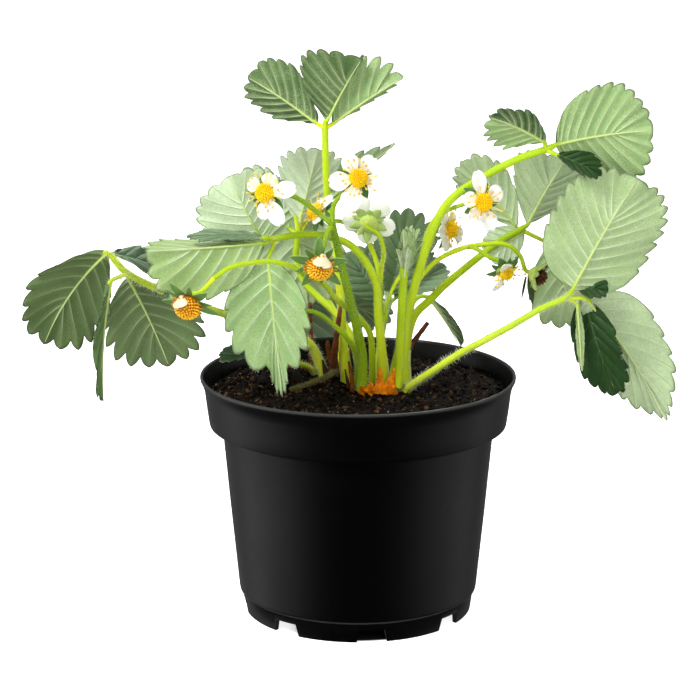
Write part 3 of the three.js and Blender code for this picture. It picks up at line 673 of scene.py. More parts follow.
def build_veins(nodes: Nodes, inputs: dict[str, Socket]) -> Inputs:
    """Draws a leaflet's veins, its fine net and its margin from the values on its mesh."""
    vein, reach, share = nodes.split(nodes.attribute("place"))
    spacing, middle, dark = nodes.split(nodes.attribute("scale"))
    part = nodes.math("FRACT", nodes.plus(vein, 0.5))
    away = nodes.times(nodes.math("ABSOLUTE", nodes.minus(part, 0.5)), spacing)
    width = nodes.times(inputs["Side Width"], nodes.minus(1.15, reach))
    side = nodes.minus(1.0, nodes.math("DIVIDE", away, width), clamp=True)
    beyond = nodes.remap(vein, 0.45, 0.6)
    # Partly painted light: the halo, a wide pale band round each side vein, is partly paler tissue by the
    # veins and partly light on the pleats' ridges, so the valleys between look shaded.
    halo = nodes.times(nodes.remap(away, 0.0, 1.6, 1.0, 0.0), inputs["Halo"])
    halo = nodes.times(halo, beyond)
    side = nodes.times(side, beyond)
    rib_width = nodes.times(inputs["Middle Width"], nodes.minus(1.2, share))
    rib = nodes.minus(1.0, nodes.math("DIVIDE", middle, rib_width), clamp=True)
    cells = nodes.add("ShaderNodeTexVoronoi", {"Vector": nodes.coordinates(), "Scale": inputs["Net Scale"]},
                      feature="DISTANCE_TO_EDGE")
    net = nodes.minus(1.0, nodes.times(cells.outputs["Distance"], 6.0), clamp=True)
    patches = nodes.remap(nodes.noise(110.0, 2.0, 0.55), 0.3, 0.75)
    return {
        "Veins": nodes.math("MAXIMUM", nodes.math("MAXIMUM", side, halo), rib),
        "Net": nodes.times(net, patches),
        "Margin": nodes.remap(reach, 0.95, 0.995),
        "Dark": dark,
    }


def vein_group() -> bpy.types.NodeTree:
    """Gives the node group for the veins of a leaflet."""
    inputs = {"Side Width": 0.45, "Middle Width": 0.9, "Halo": 0.25, "Net Scale": 900.0}
    return node_group("leaflet_veins", inputs, ["Veins", "Net", "Margin", "Dark"], build_veins)


def build_mottle(nodes: Nodes, inputs: dict[str, Socket]) -> Inputs:
    """Mixes broad and fine unevenness, each with its own strength, about 0.5."""
    total: Source = 0.5
    for layer in ("Broad", "Fine"):
        swing = nodes.minus(nodes.noise(inputs[f"{layer} Scale"], 3.0), 0.5)
        total = nodes.plus(total, nodes.times(swing, inputs[layer]))
    return {"Value": nodes.math("MAXIMUM", total, 0.0)}


def mottle_group() -> bpy.types.NodeTree:
    """Gives the node group for natural unevenness of colour and gloss."""
    inputs = {"Broad Scale": 40.0, "Broad": 1.0, "Fine Scale": 400.0, "Fine": 0.5}
    return node_group("natural_mottle", inputs, ["Value"], build_mottle)


class Finish:
    """A finish: makes its material once and hands it out."""

    name: str
    roughness: float

    def material(self) -> bpy.types.Material:
        """Gives the finish's material."""
        if self.name in bpy.data.materials:
            return bpy.data.materials[self.name]
        material = bpy.data.materials.new(self.name)
        material.use_nodes = True
        nodes = Nodes(material.node_tree)
        inputs = {"Roughness": self.roughness, **self.dress(nodes)}
        nodes.feed(material.node_tree.nodes["Principled BSDF"], inputs)
        return material

    def dress(self, nodes: Nodes) -> Inputs:
        """Builds the nodes and gives what feeds the shader."""
        raise NotImplementedError


@dataclass(frozen=True)
class BladeFinish(Finish):
    """One face of a leaflet. A relief below 0 sinks the veins."""

    name: str
    roughness: float
    vein_colour: Colour
    vein_share: float
    relief: float
    net: float
    margin_colour: Colour
    side_width: float
    middle_width: float
    # halo: strength of the pale band round the side veins, partly painted light on the pleats' ridges
    halo: float
    sheen: float
    dark_colour: Colour = linear(30, 78, 26)

    NET_SCALE = 1000.0
    BROAD = (60.0, 0.9)
    FINE = (900.0, 0.7)

    def dress(self, nodes: Nodes) -> Inputs:
        """Colours the blade by its own tint, with lighter veins, a fine net and a darker margin."""
        inputs = {"Side Width": self.side_width, "Middle Width": self.middle_width, "Halo": self.halo,
                  "Net Scale": self.NET_SCALE}
        group = nodes.add("ShaderNodeGroup", inputs, node_tree=vein_group())
        veins, net, margin, dark = (group.outputs[name] for name in ("Veins", "Net", "Margin", "Dark"))
        uneven = nodes.mottle(self.BROAD, self.FINE)
        colour = nodes.shaded(nodes.mix(dark, nodes.tint(), self.dark_colour),
                              nodes.remap(uneven, 0.1, 0.9, 0.8, 1.16))
        colour = nodes.mix(nodes.times(net, self.net), colour, self.vein_colour)
        colour = nodes.mix(nodes.times(veins, self.vein_share), colour, self.vein_colour)
        colour = nodes.mix(nodes.times(margin, 0.6), colour, self.margin_colour)
        height = nodes.plus(nodes.plus(veins, nodes.times(net, 0.3)), nodes.times(uneven, 0.3))
        if self.relief < 0:
            height = nodes.times(height, -1.0)
        return {"Base Color": colour, "Normal": nodes.bump(height, abs(self.relief)),
                "Sheen Weight": self.sheen, "Sheen Roughness": 0.4, "Specular IOR Level": 0.3}


@dataclass(frozen=True)
class StalkFinish(Finish):
    """Fresh green stalk, paler and yellower towards its foot; the paler foot is partly painted light on the
    bundle over the crown.
    """

    name: str
    roughness: float
    foot: Colour
    top: Colour

    BROAD = (90.0, 0.8)
    FINE = (700.0, 0.5)
    STREAKS = (26.0, 0.12, 1.0)

    def dress(self, nodes: Nodes) -> Inputs:
        """Blends from the foot's colour to the top's, with lengthwise streaks and unevenness."""
        place = nodes.attribute("place")
        swing = nodes.times(nodes.minus(nodes.mottle(self.BROAD, self.FINE), 0.5), 0.5)
        share = nodes.plus(nodes.split(place)[2], swing)
        colour = nodes.mix(nodes.remap(share, 0.0, 0.9), self.foot, self.top)
        colour = nodes.mix(1.0, colour, nodes.tint(), "MULTIPLY")
        streak = nodes.noise(5.0, 2.0, vector=nodes.stretched(place, self.STREAKS))
        colour = nodes.mix(nodes.remap(streak, 0.45, 0.7, 0.0, 0.35), colour, self.foot)
        return {"Base Color": colour, "Normal": nodes.bump(streak, 0.25, 0.6), "Specular IOR Level": 0.25,
                "Subsurface Weight": 0.25, "Subsurface Radius": (0.8, 1.0, 0.3),
                "Subsurface Scale": 1.2 * MM}


@dataclass(frozen=True)
class TintFinish(Finish):
    """A soft natural surface in its own tint, with broad and fine unevenness."""

    name: str
    roughness: float
    broad: Span = (90.0, 0.8)
    fine: Span = (900.0, 0.6)
    relief: float = 0.2
    depth: float = 0.35
    through: float = 0.0
    sheen: float = 0.0
    gloss: float = 0.4

    def dress(self, nodes: Nodes) -> Inputs:
        """Varies the lightness of the tint and raises a fine relief."""
        uneven = nodes.mottle(self.broad, self.fine)
        colour = nodes.shaded(nodes.tint(), nodes.remap(uneven, 0.1, 0.9, 1 - self.depth, 1 + self.depth))
        inputs = {"Base Color": colour, "Normal": nodes.bump(uneven, self.relief),
                  "Sheen Weight": self.sheen, "Specular IOR Level": self.gloss}
        if self.through:
            inputs |= {"Subsurface Weight": self.through, "Subsurface Radius": (1.0, 1.0, 0.8),
                       "Subsurface Scale": 1.0 * MM}
        return inputs


@dataclass(frozen=True)
class PlasticFinish(Finish):
    """Fine matte moulded plastic with faint scuffs, and painted highlights along the top of the rim and over
    the foot ring.

    The two spans of levels give where highlights are painted pale: the first at the top of the rim, line
    those over the foot ring.
    """

    name: str
    roughness: float
    dark: Colour
    worn: Colour
    # colour of the painted highlights at the top of the rim and over the foot ring
    edge: Colour
    lip_highlight: Span = (98.6, 99.7)
    line: tuple[Span, Span] = ((8.0, 8.5), (8.9, 9.4))

    BROAD = (25.0, 0.9)
    FINE = (260.0, 0.4)
    SCUFFS = (420.0, 420.0, 14.0)
    GRAIN = 2600.0

    def dress(self, nodes: Nodes) -> Inputs:
        """Adds a moulded grain, faint upright scuffs, and painted highlights at the top of the rim and over
        the foot ring.
        """
        uneven = nodes.mottle(self.BROAD, self.FINE)
        scuff = nodes.noise(5.0, 4.0, vector=nodes.stretched(nodes.coordinates(), self.SCUFFS))
        marks = nodes.times(nodes.remap(scuff, 0.62, 0.8, 0.0, 0.35), uneven)
        level = nodes.split(nodes.coordinates())[2]
        lip_highlight = nodes.remap(level, self.lip_highlight[0] * MM, self.lip_highlight[1] * MM, 0.0, 0.9)
        (low, full), (ends, high) = self.line
        line = nodes.times(nodes.remap(level, low * MM, full * MM),
                           nodes.remap(level, ends * MM, high * MM, 1.0, 0.0))
        colour = nodes.mix(marks, self.dark, self.worn)
        # Painted highlights: the top of the rim and the line over the foot ring are mixed towards the paler
        # highlight colour.
        colour = nodes.mix(nodes.math("MAXIMUM", lip_highlight, line), colour, self.edge)
        rough = nodes.remap(uneven, 0.1, 0.9, self.roughness - 0.05, self.roughness + 0.08)
        return {"Base Color": colour, "Roughness": rough, "Specular IOR Level": 0.28,
                "Normal": nodes.bump(nodes.noise(self.GRAIN, 2.0, 0.55), 0.03, 0.5)}


UNDER_FACE = BladeFinish("leaf_under_face", 0.6, linear(226, 238, 200), 0.8, 0.3, 0.34,
                         linear(74, 88, 52), 0.46, 0.8, 0.14, 0.1)
RIBBED_FACE = BladeFinish("ribbed_under_face", 0.55, linear(210, 228, 172), 0.72, 0.32, 0.4,
                          linear(52, 66, 40), 0.46, 0.9, 0.26, 0.1)
# Painted shade: a darker copy of the under face, with duller veins, for the far-left leaf that lies in shade.
SHADED_UNDER_FACE = BladeFinish("shaded_under_face", 0.5, linear(168, 190, 134), 0.7, 0.3, 0.14,
                        linear(44, 58, 32), 0.42, 0.9, 0.16, 0.05)
UPPER_FACE = BladeFinish("leaf_upper_face", 0.38, linear(112, 144, 84), 0.32, -0.3, 0.1,
                         linear(36, 48, 24), 0.4, 0.8, 0.1, 0.05)
RIB = TintFinish("leaf_midrib", 0.5, (150.0, 0.6), (900.0, 0.5), 0.06, 0.12, through=0.1, gloss=0.25)
SHEATH = TintFinish("pale_sheath", 0.5, (160.0, 0.9), (900.0, 0.6), 0.2, 0.2, through=0.2, gloss=0.3)
# The pale foot colour is partly painted light, which brightens the stalks' bundle over the crown.
STALK = StalkFinish("fresh_stalk", 0.48, linear(220, 238, 40), linear(172, 204, 20))
HAIR = TintFinish("white_hair", 0.6, relief=0.01, depth=0.05, sheen=0.3)
PETAL = TintFinish("white_petal", 0.5, (120.0, 0.5), (500.0, 0.3), 0.12, 0.04, through=0.3)
HEART = TintFinish("knobbly_heart", 0.5, (300.0, 0.8), (1500.0, 0.6), 0.1, 0.2, gloss=0.25)
GREEN = TintFinish("sepal_green", 0.55, (150.0, 0.8), (1200.0, 0.6), 0.12, 0.25, sheen=0.15)
DRY = TintFinish("dry_stalk", 0.7, (160.0, 1.2), (1100.0, 1.1), 0.5, 0.6, gloss=0.3)
SCALE = TintFinish("orange_scale", 0.4, (420.0, 1.4), (1500.0, 0.7), 0.3, 0.5, through=0.15)
SOIL = TintFinish("peat", 0.9, (300.0, 1.2), (1900.0, 1.3), 0.6, 0.8, gloss=0.15)
# The last colour is that of the painted highlights on the rim and over the foot ring.
POT_PLASTIC = PlasticFinish("black_plastic", 0.3, linear(3, 3, 4), linear(26, 26, 27), linear(58, 59, 58))
RIB_TINTS = (linear(186, 208, 92), linear(196, 214, 150))


class Tint(Enum):
    """Colours of leaf faces: the upper face and the under face. DEEP, DARK and SHADE are partly painted
    shade: darker colours for leaflets that lie in shade.
    """

    SAGE = (linear(58, 96, 40), linear(156, 182, 124))
    PALE = (linear(58, 96, 40), linear(174, 197, 148))
    MINT = (linear(58, 96, 40), linear(188, 210, 168))
    FRESH = (linear(40, 90, 34), linear(138, 170, 106))
    GRASS = (linear(50, 88, 34), linear(146, 174, 106))
    DEEP = (linear(42, 70, 30), linear(92, 114, 66))
    SHADE = (linear(76, 102, 72), linear(128, 150, 110))
    DARK = (linear(30, 62, 22), linear(84, 116, 62))
    SLATE = (linear(110, 134, 100), linear(138, 164, 128))
    MIST = (linear(58, 96, 40), linear(202, 220, 186))


# Leaves


@dataclass(frozen=True)
class Leaflet:
    """One toothed leaflet: where it sits, how it folds and how it is coloured.

    face is the direction in which the upper face looks. fold gives the angle to which each
    half rises towards the upper face.
    """

    base: Point
    tip: Point
    face: Point
    half: float
    fold: Span = (0.0, 0.0)
    curl: float = 0.0
    arch: float = 20.0
    wave: float = 0.0
    veins: int = 9
    tint: Tint = Tint.SAGE
    teeth: float = 0.13
    outline: Span = (0.9, 0.5)
    tail: float = 0.0
    dark_half: int = 0
    pleat: float = 0.5

    SPACING = 1.3
    RIB_END = 0.64
    RIB_POWER = 1.7
    VEIN_BEND = 1.22
    RIPPLE = 15.4
    RIDGE = 0.14
    RIDGE_WIDTH = 0.07
    FLUTTER = 0.9
    FLUTTER_SCALE = 0.055
    THICKNESS = 0.34
    NOTCH = 0.4
    TAIL_WIDTH = 0.28
    RIB_DROP = 0.32
    RIB_POINTS = 16
    VEIN_STEPS = (-0.48, -0.36, -0.22, -0.1, 0.0, 0.1, 0.2, 0.3, 0.4, 0.46)
    REACH_STEPS = 13

    def chord(self) -> float:
        """Gives the straight length from base to tip."""
        return float(np.linalg.norm(np.subtract(self.tip, self.base)))

    def margin(self, s: np.ndarray) -> tuple[np.ndarray, np.ndarray]:
        """Gives the margin's place along and across, for each share s from base to tip."""
        base, tip = self.outline
        lengthwise = 1 - (1 - s ** self.SPACING) ** 2
        peak = (base / (base + tip)) ** base * (tip / (base + tip)) ** tip
        body = np.minimum(lengthwise / (1 - self.tail), 1)
        sideways = body ** base * (1 - body) ** tip / peak
        if self.tail:
            lobe = self.TAIL_WIDTH * np.sqrt(np.clip((1 - lengthwise) / (2 * self.tail), 0, 1))
            sideways = np.maximum(sideways, lobe * (lengthwise > 1 - 2 * self.tail))
        return lengthwise, sideways

    def tooth(self, vein: np.ndarray) -> np.ndarray:
        """Gives how far a side vein's ray reaches, less between two teeth."""
        place = vein - np.floor(vein + 1 - self.NOTCH)
        away = np.where(place < 0, -place / (1 - self.NOTCH), place / self.NOTCH)
        notch = 0.4 * away + 0.6 * away ** 3
        return 1 - self.teeth * smoothstep(0.15, 0.4, vein / self.veins) * notch

    def axes(self) -> tuple[np.ndarray, np.ndarray]:
        """Gives the directions towards the tip and out of the upper face."""
        forward = unit(np.subtract(self.tip, self.base))
        up = np.array(self.face, float)
        return forward, unit(up - forward * up.dot(forward))

    def put(self, share: np.ndarray, offset: np.ndarray, vein: np.ndarray, reach: np.ndarray) -> np.ndarray:
        """Places points of the flat leaflet in space.

        Args:
            share: place along the midrib, from 0 at the base to 1 at the tip.
            offset: signed distance across, as a share of the half width.
            vein: number of the side vein.
            reach: place along the side vein.

        Returns:
            The points in millimetres.
        """
        forward_axis, up = self.axes()
        across_axis = np.cross(up, forward_axis)
        bend = math.radians(self.arch)
        radius = self.chord() / (2 * math.sin(bend / 2))
        phi = bend * (share - 0.5)
        side = np.sign(offset)
        width = np.abs(offset) * self.half
        fold = np.where(side < 0, self.fold[0], self.fold[1])
        lean = np.radians(fold) + math.radians(self.curl) * 0.5 * np.abs(offset)
        pleat = self.pleat * np.abs(np.sin(np.pi * vein)) ** 1.2 * np.minimum(1, 4 * reach * (1.25 - reach))
        ripple = self.wave * np.sin(self.RIPPLE * vein / self.veins + side) * reach ** 2
        away = np.abs(vein - np.round(vein))
        ridge = self.RIDGE * np.exp(-(away / self.RIDGE_WIDTH) ** 2) * (vein > 0.5) * (1.1 - reach)
        sideways = side * width * np.cos(lean)
        lift = width * np.sin(lean) + np.where(side == 0, 0, pleat + ripple - ridge)
        forward = radius * (np.sin(phi) + math.sin(bend / 2)) + lift * np.sin(phi)
        upward = radius * (np.cos(phi) - math.cos(bend / 2)) + lift * np.cos(phi)
        return (np.array(self.base) + forward[..., None] * forward_axis + sideways[..., None] * across_axis
                + upward[..., None] * up)

    def sheet(self) -> Sheet:
        """Builds the leaflet's surface with the values that its veins are drawn from."""
        rays = sorted({round(v + step, 3) for v in range(self.veins + 1) for step in self.VEIN_STEPS
                       if 0 <= v + step <= self.veins} | {0.0, float(self.veins)})
        vein, reach = np.meshgrid(np.array(rays), np.linspace(0, 1, self.REACH_STEPS), indexing="ij")
        lengthwise, sideways = self.margin(vein / self.veins)
        root = self.RIB_END * lengthwise ** self.RIB_POWER
        length = reach * self.tooth(vein)
        share = root + (lengthwise - root) * length ** self.VEIN_BEND
        chord = self.chord()
        smooth = np.stack([(root + (lengthwise - root) * reach) * chord, sideways * reach * self.half], -1)
        spacing = np.linalg.norm(np.gradient(smooth, np.array(rays), axis=0), axis=-1) * 0.85
        points, faces, places, scales = [], [], [], []
        for side in (-1, 1):
            grid = self.put(share, side * sideways * length, vein, reach)
            faces += grid_faces(*vein.shape, start=vein.size * len(points), flip=side < 0)
            points.append(grid.reshape(-1, 3))
            places.append(np.stack([vein, reach, share], -1).reshape(-1, 3))
            dark = np.full_like(vein, float(side == self.dark_half))
            scales.append(np.stack([spacing, sideways * length * self.half, dark], -1).reshape(-1, 3))
        flat = np.concatenate(points)
        flat += self.flutter(flat, np.concatenate(places))
        return Sheet(flat, faces, np.concatenate(places), np.concatenate(scales))

    def flutter(self, points: np.ndarray, place: np.ndarray) -> np.ndarray:
        """Gives small natural unevenness that grows towards the margin."""
        rows = []
        for point, (_, reach, share) in zip(points, place):
            swing = np.array(noise.noise_vector(Vector(point) * self.FLUTTER_SCALE))
            rows.append(swing * self.FLUTTER * reach * min(1.0, 4 * share))
        return np.array(rows)

    def foot(self) -> list[np.ndarray]:
        """Gives the base and a point on the midrib a little way into the blade."""
        inside = self.put(np.array(0.05), np.array(0.0), np.array(0.0), np.array(0.0))
        return [np.array(self.base), inside]

    def midrib(self) -> np.ndarray:
        """Gives the points of the raised midrib under the blade."""
        share = np.linspace(0.0, 0.97, self.RIB_POINTS)
        zero = np.zeros_like(share)
        return self.put(share, zero, zero, zero) - self.axes()[1] * self.RIB_DROP

    def add_midrib(self, blades: Draft) -> None:
        """Adds the midrib to the leaf's blades, in slot 2, yellower at the foot."""
        rib = self.midrib()
        fade = np.linspace(0, 1, len(rib))[:, None] ** 0.6
        shades = np.array(RIB_TINTS[0]) * (1 - fade) + np.array(RIB_TINTS[1]) * fade
        add_tube(blades, rib, np.linspace(0.6, 0.14, len(rib)), 6, 2, shades)


@dataclass(frozen=True)
class Leaf:
    """A petiole with its leaflets. The end leaflet comes first."""

    name: str
    petiole: tuple[Point, ...]
    girth: Span
    leaflets: tuple[Leaflet, ...]
    slot: str = "leaf"
    hair: float = 5.0
    hair_length: float = 1.15
    # stalk_tint multiplies the stalk's colour; tints above 1 are partly painted light on petioles that stand
    # in brighter light.
    stalk_tint: Colour = WHITE
    under: BladeFinish = UNDER_FACE

    WING_LENGTH = 17.0
    WING_TINT = linear(206, 216, 128)
    JOINT_SHARE = 0.55
    BRANCH_SHARE = 0.72
    BRANCH_END = 0.6
    BRANCH_HAIR = 0.85
    MARGIN_HAIRS = 2.2

    def stalk_path(self) -> tuple[np.ndarray, np.ndarray]:
        """Gives the petiole's centre line, from below the soil into the end leaflet, and its radii."""
        foot = np.array(self.petiole[0]) - [0, 0, FOOT_DEPTH]
        path = smooth_path([foot, *self.petiole, *self.leaflets[0].foot()])
        run = along(path) / along(path)[-1]
        joint = run[CURVE_STEPS * len(self.petiole)]
        thinner = 1 - (1 - self.JOINT_SHARE) * smoothstep(joint, 1.0, run)
        return path, stalk_radii(path, self.girth) * thinner

    def build(self, rng: random.Random, hairs: Draft) -> None:
        """Builds the leaf's blades and its stalk as two pieces.

        Args:
            rng: the source of chance.
            hairs: the draft that takes the hairs.
        """
        blades = Draft(f"{self.name}_blades")
        stalk = Draft(f"{self.name}_stalk")
        path, radii = self.stalk_path()
        main = Stalk(10, self.hair, self.hair_length, self.stalk_tint, 0.04, rooted=True)
        side = Stalk(8, self.hair, self.hair_length * self.BRANCH_HAIR, self.stalk_tint)
        main.add_to(stalk, hairs, path, radii, rng)
        self.add_wings(stalk, path, radii)
        for number, leaflet in enumerate(self.leaflets):
            if number:
                branch = smooth_path([self.petiole[-1], *leaflet.foot()])
                girths = np.linspace(self.girth[1] * self.BRANCH_SHARE, self.BRANCH_END, len(branch))
                side.add_to(stalk, hairs, branch, girths, rng)
            leaflet.add_midrib(blades)
            leaflet.sheet().add_to(blades, leaflet.THICKNESS, 0, 1, leaflet.tint.value)
            self.margin_hairs(leaflet, rng, hairs)
        blades.piece([UPPER_FACE, self.under, RIB], self.slot, [self.name])
        stalk.piece([STALK, SHEATH], "stalk", [self.name])

    def add_wings(self, stalk: Draft, path: np.ndarray, radii: np.ndarray) -> None:
        """Adds the pale papery wings that clasp the petiole's foot.

        Args:
            stalk: the draft of the petiole.
            path: its centre line.
            radii: its radius at each point of the path.
        """
        count = int(np.searchsorted(along(path), self.WING_LENGTH * self.girth[0] / 2)) + 1
        share = np.linspace(0, 1, count)
        for side in (-1, 1):
            line = path[:count] + np.outer(side * radii[:count] * (0.85 + 0.25 * share ** 2), [0.95, -0.3, 0])
            widths = self.girth[0] * (0.62 - 0.5 * share ** 2)
            add_tube(stalk, line, widths, 6, 1, self.WING_TINT, flat=0.4)

    def margin_hairs(self, leaflet: Leaflet, rng: random.Random, hairs: Draft) -> None:
        """Sets short hairs along a leaflet's margin."""
        for _ in range(int(leaflet.chord() * self.MARGIN_HAIRS)):
            side = rng.choice((-1, 1))
            vein = np.array(rng.uniform(0.6, leaflet.veins - 0.05))
            lengthwise, sideways = leaflet.margin(vein / leaflet.veins)
            tooth = leaflet.tooth(vein)
            root = leaflet.RIB_END * lengthwise ** leaflet.RIB_POWER
            ends = []
            for reach in (0.93, 1.0):
                length = reach * tooth
                share = root + (lengthwise - root) * length ** leaflet.VEIN_BEND
                ends.append(leaflet.put(share, side * sideways * length, vein, np.array(reach)))
            outward = unit(ends[1] - ends[0])
            outward = unit(outward + np.array([rng.uniform(-0.4, 0.4) for _ in range(3)]))
            add_hair(hairs, ends[1], outward, unit(np.cross(outward, [0.3, 0.5, 0.8])), rng.uniform(0.4, 0.8))


